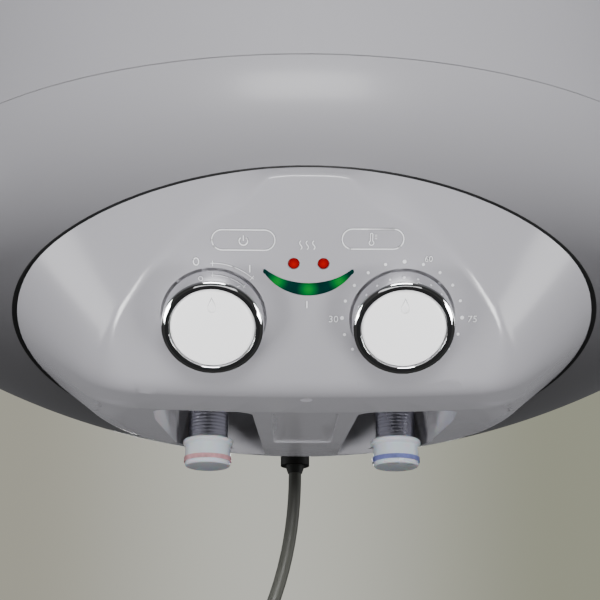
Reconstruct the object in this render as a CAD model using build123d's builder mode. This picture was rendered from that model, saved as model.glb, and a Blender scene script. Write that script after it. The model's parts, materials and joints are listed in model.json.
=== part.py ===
"""Vertical wall-hung storage water heater with a control cover under its front edge.

Millimetres.  The origin is the middle of the hanging bracket on the wall face, +Z is up and the
front faces -Y.  The body hangs in front of the wall: its axis stands at Y = YC, and the lowest
point of its dished bottom at Z = ZP.  Sketch planes below are set out from that point, with
`at(x, y, z)` measured from it: y runs to the wall and z upwards.
"""
from build123d import *
import math
import os

os.makedirs("parts", exist_ok=True)

# Body
BODY_R = 225.0
BODY_H = 570.0
FRONT_REACH = 225.0
WALL_GAP = 25.0
SHEET_T = 1.2
LAP = 12.0
SEAT_GAP = 0.3
DISH_R = 430.0
KNUCKLE_R = 60.0
TOP_CROWN_R = 700.0
TOP_KNUCKLE_R = 34.0

# Hanging bracket and lower spacer
BRACKET_DOWN = 130.0
BRACKET_W = 250.0
BRACKET_TALL = 46.0
BRACKET_T = 2.5
BRACKET_TAB = 26.0
SLOT_SPACING = 180.0
SLOT_R = 4.5
SLOT_LENGTH = 18.0
SPACER_W = 64.0
SPACER_TALL = 26.0
SPACER_UP = 23.2

# Control cover: a moulding over an oval opening in the dished bottom
COVER_Y = -79.0
RIM_X = 137.6
RIM_Y = 129.8
RIM_UP = 14.0
COVER_T = 3.0
RIM_SEAT = 11.0
GASKET_T = 2.0
GASKET_SIDE = 2.3
GASKET_FRONT = 0.5
TILT = 45.0
KNOB_Y = -174.0
KNOB_Z = 6.3
KNOB_X = 38.5
FASCIA_R = 280.0
CROSS_R = 1600.0
CHIN_R = 20.0
CHIN_Z = -18.0
LIP_Y = -116.0
BACK_Z = -0.2
CREASE_R = 4.0
RECESS_W = 30.0
RECESS_L = 100.0
RECESS_DEPTH = 0.8
COVER_SCREW_Y = -136.4
ACCESS_R = 2.8
BOSS_R = 5.5
BOSS_FLOOR = -8.0
BOSS_TOP = 2.0
COVER_SCREW_R = 1.9

# Pipe scoops and pipes
PIPE_X = 50.0
NIPPLE_R = 10.48
NIPPLE_L = 30.0
NIPPLE_BORE = 8.0
NIPPLE_END = -14.8
STEM_R = 10.7
PIPE_R = 9.0
NIPPLE_HOLE = 13.0
SCOOP_ROOF = 18.0
SCOOP_WALL = 2.5
SCOOP_IN = 24.0
SCOOP_OUT = 70.0
SCOOP_BACK = 34.0
CAP_BORE = 11.12
CAP_R = 12.0
CAP_FLANGE_R = 13.3
CAP_FLANGE_T = 2.4
CAP_TALL = 14.2
CAP_FLOOR = 1.2
CAP_TOP = -2.5
BAND_T = 0.5
BAND_TALL = 2.4
BAND_UP = 2.2

# Knobs and what they turn
WELL_R = 21.7
WELL_W = -1.6
KNOB_R = 21.0
KNOB_FRONT_R = 20.5
KNOB_TALL = 12.4
KNOB_LIFT = 0.4
DISC_R = 17.0
DISC_GAP = 0.3
SHAFT_R = 3.0
SHAFT_CLEAR = 0.05
BUSH_R = 4.8
BUSH_HOLE = 5.1
BLOCK_W = -4.3
SWITCH_X = 30.0
SWITCH_TALL = 34.0
SWITCH_DEEP = 22.0
STAT_X = 32.0
STAT_TALL = 36.0
STAT_DEEP = 18.0
CONTROL_SCREW = 14.0

# Lamps
RED_X = 5.95
RED_T = 23.6
RED_R = 2.3
SMILE_HALF = 18.3
SMILE_TIP_T = 21.3
SMILE_UPPER_T = 15.2
SMILE_LOWER_T = 10.0
LENS_CLEAR = 0.15
LENS_TOP = -0.95
BOARD_W = -9.0
BOARD_T = 1.6
BOARD_X = 42.0

# Tank and its flange
TANK_R = 195.0
TANK_WALL = 2.0
TANK_Z = 55.0
TANK_TOP_GAP = 30.0
TANK_CROWN_R = 330.0
TANK_KNUCKLE_R = 40.0
FLANGE_Y = -72.0
NECK_R = 50.0
NECK_BORE = 46.0
FLANGE_R = 60.0
FLANGE_Z = 38.0
PLATE_T = 4.0
FLANGE_GASKET_T = 2.0
RING_T = 6.0
STUD_CIRCLE = 53.0
STUD_R = 3.0
NUT_TALL = 5.0
ELEMENT_R = 4.0
ELEMENT_X = 18.0
ELEMENT_HALF = 14.0
ELEMENT_TOP = 330.0
ANODE_R = 9.0
ANODE_TOP = 360.0
WELL_TUBE_R = 5.0
WELL_TUBE_TOP = 300.0
BULB_R = 3.1
BULB_L = 70.0

# Cord, coil and plug
CORD_R = 3.7
CORD_X = -3.0
CORD_Y = 80.0
GLAND_END = -3.0
COIL_R = 40.0
COIL_Z = -186.0
COIL_PITCH = 8.1
COIL_TURNS = 4
COIL_LEAD = 8.0
TAIL = 20.0
PLUG_R = 18.5
PLUG_RELIEF = 20.0
PLUG_BODY = 32.0
PIN_R = 2.4
PIN_L = 19.0
PIN_SPACING = 19.0

# Worked out from the above
WALL_Y = BODY_R + WALL_GAP
AXIS_Y = BODY_R - FRONT_REACH
BRACKET_Z = BODY_H - BRACKET_DOWN
TANK_TOP = BODY_H - TANK_TOP_GAP
YC = -(AXIS_Y + WALL_Y)
ZP = -BRACKET_Z
COS_T = math.cos(math.radians(TILT))
SIN_T = math.sin(math.radians(TILT))
RIM_BACK = COVER_Y + RIM_Y
UNDER_SLOPE = math.atan2(BACK_Z - CHIN_Z, RIM_BACK - LIP_Y)


def at(x, y, z):
    """A point given from the lowest point of the body, in the part's frame."""
    return (x, YC + y, ZP + z)


def up(height):
    """The horizontal plane at a height over the lowest point of the body, set out from the pipes."""
    return Plane(origin=at(0, 0, height))


def core(height):
    """The horizontal plane at a height over the lowest point, set out from the body's axis."""
    return Plane(origin=at(0, AXIS_Y, height))


SIDE = Plane(origin=at(0, 0, 0), x_dir=(0, 1, 0), z_dir=(1, 0, 0))
FRONT = Plane(origin=at(0, AXIS_Y, 0), x_dir=(1, 0, 0), z_dir=(0, -1, 0))
BODY_AXIS = Axis(at(0, AXIS_Y, 0), (0, 0, 1))
FACE = Plane(origin=at(0, KNOB_Y, KNOB_Z), x_dir=(1, 0, 0), z_dir=(0, -COS_T, -SIN_T))


def dish_depth(radius, crown, knuckle):
    """Height from the crown of a dished end to where its straight wall begins."""
    return crown - math.sqrt((crown - knuckle) ** 2 - (radius - knuckle) ** 2)


def dish_height(r, radius, crown, knuckle):
    """Height over the crown at the distance r from the axis."""
    if r <= crown * (radius - knuckle) / (crown - knuckle):
        return crown - math.sqrt(crown**2 - r**2)
    depth = dish_depth(radius, crown, knuckle)
    return depth - math.sqrt(knuckle**2 - (r - radius + knuckle) ** 2)


def dished(plane, radius, crown, knuckle, inset, reach):
    """A solid of revolution with a dished end, its wall run on to the height `reach`."""
    spread = math.degrees(math.asin((radius - knuckle) / (crown - knuckle)))
    depth = dish_depth(radius, crown, knuckle)
    with BuildPart() as body:
        with BuildSketch(plane):
            with BuildLine():
                CenterArc((0, crown), crown - inset, -90, spread)
                CenterArc((radius - knuckle, depth), knuckle - inset, -90 + spread, 90 - spread)
                if reach > depth:
                    Line((radius - inset, depth), (radius - inset, reach))
                Line((radius - inset, reach), (0, reach))
                Line((0, reach), (0, inset))
            make_face()
        revolve(axis=BODY_AXIS)
    return body.part


def bottom_dish(inset, reach):
    """The body's dished bottom as a solid, drawn in by `inset`."""
    return dished(FRONT, BODY_R, DISH_R, KNUCKLE_R, inset, reach)


DISH_DEPTH = dish_depth(BODY_R, DISH_R, KNUCKLE_R)
TOP_DEPTH = dish_depth(BODY_R, TOP_CROWN_R, TOP_KNUCKLE_R)
TANK_DEPTH = dish_depth(TANK_R, TANK_CROWN_R, TANK_KNUCKLE_R)
SHELL_TOP = BODY_H - TOP_DEPTH
TOP_FRONT = Plane(origin=at(0, AXIS_Y, BODY_H), x_dir=(1, 0, 0), z_dir=(0, 1, 0))
TANK_FRONT = Plane(origin=at(0, AXIS_Y, TANK_Z), x_dir=(1, 0, 0), z_dir=(0, -1, 0))
TANK_TOP_FRONT = Plane(origin=at(0, AXIS_Y, TANK_TOP), x_dir=(1, 0, 0), z_dir=(0, 1, 0))
GLAND_Z = dish_height(math.hypot(CORD_X, CORD_Y - AXIS_Y), BODY_R, DISH_R, KNUCKLE_R)
SPACER_Z = DISH_DEPTH + SPACER_UP

# Body
with BuildPart() as outer_shell:
    with BuildSketch(core(DISH_DEPTH + SEAT_GAP)):
        Circle(BODY_R)
        Circle(BODY_R - SHEET_T, mode=Mode.SUBTRACT)
    extrude(amount=SHELL_TOP - DISH_DEPTH - 2 * SEAT_GAP)
outer_shell.part.label = "outer_shell"

with BuildPart() as top_cap:
    add(dished(TOP_FRONT, BODY_R, TOP_CROWN_R, TOP_KNUCKLE_R, 0, TOP_DEPTH))
    with BuildSketch(core(SHELL_TOP)):
        Circle(BODY_R - SHEET_T - SEAT_GAP)
    extrude(amount=-LAP)
    add(
        dished(TOP_FRONT, BODY_R, TOP_CROWN_R, TOP_KNUCKLE_R, 2 * SHEET_T + SEAT_GAP, TOP_DEPTH + LAP),
        mode=Mode.SUBTRACT,
    )
top_cap.part.label = "top_cap"

with BuildPart() as bottom_cap:
    add(bottom_dish(0, DISH_DEPTH))
    with BuildSketch(core(DISH_DEPTH)):
        Circle(BODY_R - SHEET_T - SEAT_GAP)
    extrude(amount=LAP)
    add(bottom_dish(2 * SHEET_T + SEAT_GAP, DISH_DEPTH + LAP), mode=Mode.SUBTRACT)
    with BuildSketch(Plane(origin=at(0, COVER_Y, -40))):
        Ellipse(RIM_X - RIM_SEAT, RIM_Y - RIM_SEAT)
    extrude(amount=BODY_R, mode=Mode.SUBTRACT)
    with BuildSketch(Plane(origin=at(CORD_X, CORD_Y, -40))):
        Circle(CORD_R + 2.2)
    extrude(amount=80, mode=Mode.SUBTRACT)
bottom_cap.part.label = "bottom_cap"

# Wall mounting
with BuildPart() as wall_bracket:
    with BuildSketch(core(BRACKET_Z - BRACKET_TALL / 2)):
        with Locations((0, WALL_Y - BRACKET_T / 2)):
            Rectangle(BRACKET_W, BRACKET_T)
        with Locations(
            ((BRACKET_W - BRACKET_T) / 2, WALL_Y), (-(BRACKET_W - BRACKET_T) / 2, WALL_Y)
        ):
            Rectangle(BRACKET_T, WALL_Y, align=(Align.CENTER, Align.MAX))
        with BuildSketch(mode=Mode.PRIVATE) as tabs:
            Circle(BODY_R + SEAT_GAP + BRACKET_T)
            with Locations((0, WALL_Y)):
                Rectangle(BRACKET_W, 2 * BODY_R, align=(Align.CENTER, Align.MAX), mode=Mode.INTERSECT)
                Rectangle(BRACKET_W - 2 * BRACKET_TAB, 4 * BODY_R, mode=Mode.SUBTRACT)
            with Locations((0, 0)):
                Rectangle(4 * BODY_R, 2 * BODY_R, align=(Align.CENTER, Align.MAX), mode=Mode.SUBTRACT)
        add(tabs.sketch)
        Circle(BODY_R + SEAT_GAP, mode=Mode.SUBTRACT)
    extrude(amount=BRACKET_TALL)
    with BuildSketch(Plane(origin=at(0, AXIS_Y + WALL_Y, BRACKET_Z), x_dir=(1, 0, 0), z_dir=(0, -1, 0))):
        with Locations((SLOT_SPACING / 2, 0), (-SLOT_SPACING / 2, 0)):
            SlotOverall(SLOT_LENGTH, 2 * SLOT_R)
    extrude(amount=BRACKET_T, mode=Mode.SUBTRACT)
wall_bracket.part.label = "wall_bracket"

with BuildPart() as wall_spacer:
    with BuildSketch(core(SPACER_Z - SPACER_TALL / 2)):
        with Locations((0, WALL_Y)):
            Rectangle(SPACER_W, WALL_GAP + 12, align=(Align.CENTER, Align.MAX))
        fillet(vertices().group_by(Axis.Y)[-1], 3)
        Circle(BODY_R + SEAT_GAP, mode=Mode.SUBTRACT)
    extrude(amount=SPACER_TALL)
    with BuildSketch(core(SPACER_Z + SPACER_TALL / 2)):
        with Locations((-SPACER_W / 4, WALL_Y - 12), (SPACER_W / 4, WALL_Y - 12)):
            RectangleRounded(SPACER_W / 2 - 8, 14, 2)
    extrude(amount=-SPACER_TALL + 3, mode=Mode.SUBTRACT)
wall_spacer.part.label = "wall_spacer"

# Control cover
FASCIA = [
    (0, 58), (19.8, 50), (44.2, 37.2), (64.7, 17.5), (77.8, -2),
    (83.4, -26.2), (80, -56), (50, -74), (0, -78),
]
AROUND = [0, 22, 45, 64, 79, 99, 124, 150, 180]
FASCIA_MID = -15.0


def closed(half):
    """A closed ring of points from the half on one side of the middle line."""
    return half + [(-x, y) for x, y in half[-2:0:-1]]


def fascia_section(inset):
    """The side profile of the cover: crowned fascia, rounded chin and rising underside."""
    cy = KNOB_Y + FASCIA_R * COS_T
    cz = KNOB_Z + FASCIA_R * SIN_T
    face_r = FASCIA_R - inset
    chin_r = CHIN_R - inset
    zb = CHIN_Z + inset
    zc = zb + chin_r
    yc = cy - math.sqrt((face_r - chin_r) ** 2 - (cz - zc) ** 2)
    meet = math.degrees(math.atan2(zc - cz, yc - cy)) % 360
    start = meet - 30
    top = (cy + face_r * math.cos(math.radians(start)), cz + face_r * math.sin(math.radians(start)))
    end_y = RIM_BACK + 40
    end_z = zb + (end_y - LIP_Y) * math.tan(UNDER_SLOPE)
    with BuildSketch(SIDE) as section:
        with BuildLine():
            CenterArc((cy, cz), face_r, start, meet - start)
            CenterArc((yc, zc), chin_r, meet, 270 - meet)
            Line((yc, zb), (LIP_Y, zb))
            Line((LIP_Y, zb), (end_y, end_z))
            Line((end_y, end_z), (end_y, BODY_R))
            Line((end_y, BODY_R), (top[0], BODY_R))
            Line((top[0], BODY_R), top)
        make_face()
    return section.sketch


def cover_form(inset, crease=0.0):
    """The cover's outer form drawn in by `inset`: flared sides cut by the fascia and underside."""
    front_z = dish_height(RIM_Y - COVER_Y + AXIS_Y, BODY_R, DISH_R, KNUCKLE_R)
    back_z = dish_height(RIM_BACK - AXIS_Y, BODY_R, DISH_R, KNUCKLE_R)
    lean = math.atan2(front_z - back_z, 2 * RIM_Y)
    rim = Plane(
        origin=at(0, COVER_Y, (front_z + back_z) / 2 - GASKET_T),
        x_dir=(1, 0, 0),
        z_dir=(0, -math.sin(lean), -math.cos(lean)),
    )
    start = FACE.offset(1.0)
    upper = []
    lower = []
    for a, (x, t) in zip(AROUND, FASCIA):
        seam = rim.from_local_coords(
            (
                (RIM_X - inset) * math.sin(math.radians(a)),
                (RIM_Y - inset) * math.cos(math.radians(a)) / math.cos(lean),
                0,
            )
        )
        keep = 1 - inset / math.hypot(x, t - FASCIA_MID)
        corner = start.from_local_coords((x * keep, FASCIA_MID + (t - FASCIA_MID) * keep, 0))
        drop = rim.to_local_coords(corner)
        rise = rim.to_local_coords(seam)
        upper.append(
            (
                rise.X + (rise.X - drop.X) * RIM_UP / drop.Z,
                rise.Y + (rise.Y - drop.Y) * RIM_UP / drop.Z,
            )
        )
        lower.append((x * keep, FASCIA_MID + (t - FASCIA_MID) * keep))
    with BuildPart() as slab:
        add(fascia_section(inset))
        revolve(axis=Axis(at(0, 0, CHIN_Z + CROSS_R), (0, 1, 0)), revolution_arc=6)
        mirror(about=SIDE)
    with BuildPart() as form:
        with BuildSketch(rim.offset(-RIM_UP)) as rim_sketch:
            with BuildLine():
                Spline(*closed(upper), periodic=True)
            make_face()
        with BuildSketch(start) as face_sketch:
            with BuildLine():
                Spline(*closed(lower), periodic=True)
            make_face()
        loft(sections=[rim_sketch.sketch, face_sketch.sketch])
        add(slab.part, mode=Mode.INTERSECT)
        if crease > 0:
            fillet(edges().filter_by(GeomType.BSPLINE).sort_by(Axis.Z)[:-2], crease)
    return form.part


def scoop(side, grow):
    """One pipe scoop as a solid, drawn out by `grow`; `side` is -1 on the left and 1 on the right."""
    outline = [
        (SCOOP_IN, LIP_Y + 1),
        (SCOOP_OUT - 2, LIP_Y + 1),
        (SCOOP_OUT, LIP_Y + 32),
        (SCOOP_OUT - 3, -5),
        (SCOOP_OUT - 18, SCOOP_BACK + 4),
        (SCOOP_IN - 4, SCOOP_BACK + 8),
    ]
    slope = 20.0
    back = SCOOP_BACK + 1.4 * grow
    with BuildPart() as pocket:
        with BuildSketch(up(-45)):
            with BuildLine():
                Polyline(*[(side * x, y) for x, y in outline], close=True)
            make_face()
            fillet(vertices(), 9)
            if grow > 0:
                offset(amount=grow)
        extrude(amount=45 + SCOOP_ROOF + grow)
        with BuildSketch(SIDE.offset(-BODY_R)):
            with BuildLine():
                Polyline(
                    (back - slope, SCOOP_ROOF + grow),
                    (back, 0),
                    (back + 90, -81),
                    (back + 200, -81),
                    (back + 200, SCOOP_ROOF + grow + 20),
                    (back - slope, SCOOP_ROOF + grow + 20),
                    close=True,
                )
            make_face()
        extrude(amount=2 * BODY_R, mode=Mode.SUBTRACT)
    return pocket.part


def smile_face(w, grow):
    """The crescent of the lower lamp window at the distance w, drawn out by `grow`."""
    half = SMILE_HALF + grow
    tip = SMILE_TIP_T + grow
    with BuildSketch(FACE.offset(w)) as crescent:
        with BuildLine():
            ThreePointArc((-half, tip), (0, SMILE_UPPER_T + grow), (half, tip))
            ThreePointArc((half, tip), (0, SMILE_LOWER_T - grow), (-half, tip))
        make_face()
    return crescent.sketch


def on_face(x, t, w):
    """The plane parallel to the fascia at (x, t), at the distance w out from it."""
    return Plane(origin=FACE.from_local_coords((x, t, w)), x_dir=FACE.x_dir, z_dir=FACE.z_dir)


def across_face(x, w):
    """The plane that holds the axis of the control at x: its x is the radius, its y runs outward."""
    return Plane(
        origin=FACE.from_local_coords((x, 0, w)), x_dir=(1, 0, 0), z_dir=(0, SIN_T, -COS_T)
    )


def control_axis(x):
    """The turning axis of the control at x."""
    return Axis(FACE.from_local_coords((x, 0, 0)), FACE.z_dir)


UNDER = Plane(
    origin=at(0, LIP_Y, CHIN_Z),
    x_dir=(1, 0, 0),
    z_dir=(0, math.sin(UNDER_SLOPE), -math.cos(UNDER_SLOPE)),
)
POSTS = [(-17.0, 27.5), (17.0, 27.5), (0.0, 5.5)]
POST_R = 2.6
POST_END = BOARD_W + SEAT_GAP
PAD_W = BLOCK_W + SEAT_GAP

with BuildPart() as cover_cavity:
    add(cover_form(COVER_T))
    add(scoop(-1, SCOOP_WALL), mode=Mode.SUBTRACT)
    add(scoop(1, SCOOP_WALL), mode=Mode.SUBTRACT)
    with BuildSketch(up(-40)):
        with Locations((0, COVER_SCREW_Y)):
            Circle(BOSS_R)
    extrude(amount=40 + BOSS_TOP, mode=Mode.SUBTRACT)
    for x in (-KNOB_X, KNOB_X):
        for t in (-CONTROL_SCREW, CONTROL_SCREW):
            with BuildSketch(on_face(x, t, PAD_W)):
                Circle(4.5)
            extrude(amount=6, mode=Mode.SUBTRACT)
    for x, t in POSTS:
        with BuildSketch(on_face(x, t, POST_END)):
            Circle(POST_R)
        extrude(amount=8, mode=Mode.SUBTRACT)

with BuildPart() as cover_seat:
    add(bottom_dish(-GASKET_T, DISH_DEPTH + 60))
    with BuildSketch(Plane(origin=at(0, COVER_Y, -40))):
        Ellipse(RIM_X - RIM_SEAT - 1.5, RIM_Y - RIM_SEAT - 1.5)
        with Locations((0, LIP_Y - COVER_Y - 14)):
            Rectangle(3 * RIM_X, RIM_Y, align=(Align.CENTER, Align.MAX), mode=Mode.SUBTRACT)
    extrude(amount=BODY_R, mode=Mode.SUBTRACT)

with BuildPart() as cover_cuts:
    add(cover_seat.part)
    add(scoop(-1, 0))
    add(scoop(1, 0))
    with BuildSketch(up(-60)):
        with Locations((-PIPE_X, 0), (PIPE_X, 0)):
            Circle(NIPPLE_HOLE)
        with Locations((0, COVER_SCREW_Y)):
            Circle(COVER_SCREW_R + 0.2)
    extrude(amount=100)
    with BuildSketch(up(-60)):
        with Locations((0, COVER_SCREW_Y)):
            Circle(ACCESS_R)
    extrude(amount=60 + BOSS_FLOOR)
    with BuildSketch(FACE.offset(WELL_W)):
        with Locations((-KNOB_X, 0), (KNOB_X, 0)):
            Circle(WELL_R)
    extrude(amount=12)
    with BuildSketch(FACE.offset(WELL_W - 12)):
        for x in (-KNOB_X, KNOB_X):
            with Locations((x, 0)):
                Circle(BUSH_HOLE)
            with Locations((x, CONTROL_SCREW), (x, -CONTROL_SCREW)):
                Circle(1.7)
    extrude(amount=13)
    extrude(to_extrude=smile_face(-8, LENS_CLEAR), amount=14)
    with BuildSketch(FACE.offset(-8)):
        with Locations((-RED_X, RED_T), (RED_X, RED_T)):
            Circle(RED_R + LENS_CLEAR)
    extrude(amount=14)
    with BuildSketch(FACE.offset(POST_END)):
        with Locations(*POSTS):
            Circle(1.1)
    extrude(amount=4.5)
    with BuildSketch(UNDER.offset(2)):
        with Locations((0, -RECESS_L / 2 - 3)):
            RectangleRounded(RECESS_W, RECESS_L, 3)
    extrude(amount=-RECESS_DEPTH - 2)

with BuildPart() as control_cover:
    add(cover_form(0, CREASE_R))
    add(cover_cavity.part, mode=Mode.SUBTRACT)
    add(cover_cuts.part, mode=Mode.SUBTRACT)
control_cover.part.label = "control_cover"

with BuildPart() as cover_gasket:
    with BuildSketch(Plane(origin=at(0, COVER_Y, -40))):
        Ellipse(RIM_X + GASKET_SIDE, RIM_Y + GASKET_FRONT)
        Ellipse(RIM_X - RIM_SEAT + 2, RIM_Y - RIM_SEAT + 2, mode=Mode.SUBTRACT)
    extrude(amount=40 + DISH_DEPTH)
    add(bottom_dish(-GASKET_T + SEAT_GAP / 2, DISH_DEPTH + 60), mode=Mode.INTERSECT)
    add(bottom_dish(-SEAT_GAP / 2, DISH_DEPTH + 60), mode=Mode.SUBTRACT)
cover_gasket.part.label = "cover_gasket"

# Hanging cover screw and its strip
STRIP_T = 1.5
STRIP_W = 14.0
STRIP_Y = COVER_SCREW_Y + 6.4
with BuildPart() as cover_strip:
    with BuildSketch(SIDE):
        with BuildLine():
            Polyline(
                (COVER_SCREW_Y - 6, BOSS_TOP + SEAT_GAP),
                (COVER_SCREW_Y - 6, BOSS_TOP + SEAT_GAP + STRIP_T),
                (STRIP_Y - STRIP_T, BOSS_TOP + SEAT_GAP + STRIP_T),
                (STRIP_Y - STRIP_T, FLANGE_Z - SEAT_GAP),
                (FLANGE_Y - STUD_CIRCLE + 7, FLANGE_Z - SEAT_GAP),
                (FLANGE_Y - STUD_CIRCLE + 7, FLANGE_Z - SEAT_GAP - STRIP_T),
                (STRIP_Y, FLANGE_Z - SEAT_GAP - STRIP_T),
                (STRIP_Y, BOSS_TOP + SEAT_GAP),
                close=True,
            )
        make_face()
    extrude(amount=STRIP_W / 2, both=True)
    with BuildSketch(up(0)):
        with Locations((0, COVER_SCREW_Y)):
            Circle(COVER_SCREW_R + 0.1)
    extrude(amount=BOSS_TOP + 10, mode=Mode.SUBTRACT)
    with BuildSketch(up(FLANGE_Z - 10)):
        with Locations((0, FLANGE_Y - STUD_CIRCLE)):
            Circle(STUD_R + 0.3)
    extrude(amount=20, mode=Mode.SUBTRACT)
cover_strip.part.label = "cover_strip"

with BuildPart() as cover_screw:
    with BuildSketch(up(BOSS_FLOOR - 2.3)):
        with Locations((0, COVER_SCREW_Y)):
            Circle(ACCESS_R - 0.2)
    extrude(amount=2.2)
    with BuildSketch(up(BOSS_FLOOR - 0.1)):
        with Locations((0, COVER_SCREW_Y)):
            Circle(COVER_SCREW_R)
    extrude(amount=BOSS_TOP - BOSS_FLOOR + 6)
    with BuildSketch(up(BOSS_FLOOR - 2.3)):
        with Locations((0, COVER_SCREW_Y)):
            Rectangle(3.6, 0.7)
            Rectangle(0.7, 3.6)
    extrude(amount=1.2, mode=Mode.SUBTRACT)
cover_screw.part.label = "cover_screw"

# Knobs
def knob_ring(x, name):
    """The bright outer ring of a knob: tapered skirt, rounded nose and a front annulus."""
    with BuildPart() as ring:
        with BuildSketch(across_face(x, WELL_W)):
            with BuildLine():
                Polyline(
                    (KNOB_R, KNOB_LIFT),
                    (KNOB_FRONT_R, KNOB_TALL - 1.4),
                    (KNOB_FRONT_R - 1.3, KNOB_TALL),
                    (DISC_R + DISC_GAP + 0.6, KNOB_TALL - 0.5),
                    (DISC_R + DISC_GAP, KNOB_TALL - 1.1),
                    (DISC_R + DISC_GAP, KNOB_TALL - 2.9),
                    (KNOB_FRONT_R - 1.4, KNOB_TALL - 2.9),
                    (KNOB_R - 1.5, KNOB_LIFT),
                    close=True,
                )
            make_face()
            fillet(vertices().group_by(Axis.Y)[-1], 1.2)
        revolve(axis=control_axis(x))
    ring.part.label = name
    return ring


def knob_disc(x, name):
    """The pale front disc of a knob with the drop-shaped pointer standing on it."""
    base = KNOB_TALL - 2.9
    with BuildPart() as disc:
        with BuildSketch(across_face(x, WELL_W)):
            with BuildLine():
                Line((0, base), (DISC_R, base))
                Line((DISC_R, base), (DISC_R, KNOB_TALL - 1.0))
                Line((DISC_R, KNOB_TALL - 1.0), (DISC_R - 0.4, KNOB_TALL - 0.6))
                ThreePointArc((DISC_R - 0.4, KNOB_TALL - 0.6), (DISC_R / 2, KNOB_TALL - 0.32), (0, KNOB_TALL - 0.2))
                Line((0, KNOB_TALL - 0.2), (0, base))
            make_face()
        revolve(axis=control_axis(x))
        with BuildSketch(on_face(x, 0, WELL_W + KNOB_TALL - 1.5)):
            with BuildLine():
                ThreePointArc((-2.3, 9.4), (0, 7.2), (2.3, 9.4))
                Line((2.3, 9.4), (0, 13.6))
                Line((0, 13.6), (-2.3, 9.4))
            make_face()
        extrude(amount=1.65)
    disc.part.label = name
    return disc


def knob_core(x, name):
    """The hidden plastic core that joins ring, disc and shaft."""
    top = KNOB_TALL - 2.9
    with BuildPart() as core:
        with BuildSketch(on_face(x, 0, WELL_W + top - 1.4)):
            Circle(KNOB_FRONT_R - 1.9)
        extrude(amount=1.2)
        with BuildSketch(on_face(x, 0, WELL_W + 2.0)):
            Circle(5.6)
        extrude(amount=top - 3.4)
        with BuildSketch(on_face(x, 0, WELL_W + 3.4)):
            Rectangle(2 * KNOB_FRONT_R - 5, 1.4)
            Rectangle(1.4, 2 * KNOB_FRONT_R - 5)
        extrude(amount=top - 4.8)
        with BuildSketch(on_face(x, 0, WELL_W)):
            Circle(SHAFT_R + 0.1)
        extrude(amount=top - 0.9, mode=Mode.SUBTRACT)
    core.part.label = name
    return core


def control_shaft(x, name):
    """The spindle of a control, flatted where the knob's core grips it."""
    start = BLOCK_W - 16
    end = WELL_W + KNOB_TALL - 4.1
    with BuildPart() as shaft:
        with BuildSketch(on_face(x, 0, start)):
            Circle(SHAFT_R)
        extrude(amount=end - start)
        with BuildSketch(on_face(x, 0, end - 5)):
            with Locations((0, SHAFT_R)):
                Rectangle(2 * SHAFT_R, 1.4)
        extrude(amount=6, mode=Mode.SUBTRACT)
    shaft.part.label = name
    return shaft


def control_block(x, wide, tall, deep, name):
    """The body of a control behind the fascia, its bush through the cover and its spade terminals."""
    with BuildPart() as block:
        with BuildSketch(on_face(x, 0, BLOCK_W)):
            RectangleRounded(wide, tall, 2.5)
        extrude(amount=-deep)
        with BuildSketch(on_face(x, 0, BLOCK_W)):
            Circle(BUSH_R)
        extrude(amount=WELL_W + 1.4 - BLOCK_W)
        if name == "thermostat":
            with BuildSketch(on_face(x, 0, BLOCK_W - deep)):
                Circle(13)
            extrude(amount=-6)
        with BuildSketch(on_face(x, 0, BLOCK_W - deep)):
            with Locations((-wide / 3, -tall / 3), (wide / 3, -tall / 3), (0, tall / 2 - 2.2)):
                Rectangle(5.0, 0.8)
        extrude(amount=-7)
        with BuildSketch(on_face(x, 0, WELL_W + 1.4)):
            Circle(SHAFT_R + SHAFT_CLEAR)
        extrude(amount=BLOCK_W - 16.3 - WELL_W - 1.4, mode=Mode.SUBTRACT)
        with BuildSketch(on_face(x, 0, BLOCK_W)):
            with Locations((0, CONTROL_SCREW), (0, -CONTROL_SCREW)):
                Circle(1.6)
        extrude(amount=-9, mode=Mode.SUBTRACT)
    block.part.label = name
    return block


def control_screws(x, name):
    """The two screws under a knob that hold its control to the cover."""
    with BuildPart() as screws:
        for t in (-CONTROL_SCREW, CONTROL_SCREW):
            with BuildSketch(on_face(x, t, WELL_W + 0.1)):
                Circle(2.9)
            extrude(amount=1.6)
            with BuildSketch(on_face(x, t, WELL_W + 0.1)):
                Circle(1.5)
            extrude(amount=-10)
    screws.part.label = name
    return screws


power_knob_ring = knob_ring(-KNOB_X, "power_knob_ring")
temp_knob_ring = knob_ring(KNOB_X, "temp_knob_ring")
power_knob_disc = knob_disc(-KNOB_X, "power_knob_disc")
temp_knob_disc = knob_disc(KNOB_X, "temp_knob_disc")
power_knob_core = knob_core(-KNOB_X, "power_knob_core")
temp_knob_core = knob_core(KNOB_X, "temp_knob_core")
power_shaft = control_shaft(-KNOB_X, "power_shaft")
temp_shaft = control_shaft(KNOB_X, "temp_shaft")
power_switch = control_block(-KNOB_X, SWITCH_X, SWITCH_TALL, SWITCH_DEEP, "power_switch")
thermostat = control_block(KNOB_X, STAT_X, STAT_TALL, STAT_DEEP, "thermostat")
switch_screws = control_screws(-KNOB_X, "switch_screws")
thermostat_screws = control_screws(KNOB_X, "thermostat_screws")

# Lamps
def red_lens(x, name):
    """A round lamp lens with its flange behind the fascia."""
    with BuildPart() as lens:
        with BuildSketch(on_face(x, RED_T, -5.3)):
            Circle(RED_R + 1.1)
        extrude(amount=0.7)
        with BuildSketch(on_face(x, RED_T, -5.3)):
            Circle(RED_R)
        extrude(amount=5.3 + LENS_TOP)
        fillet(edges().sort_by(Axis(FACE.origin, FACE.z_dir))[-1], 0.5)
    lens.part.label = name
    return lens


red_lens_left = red_lens(-RED_X, "red_lens_left")
red_lens_right = red_lens(RED_X, "red_lens_right")

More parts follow.
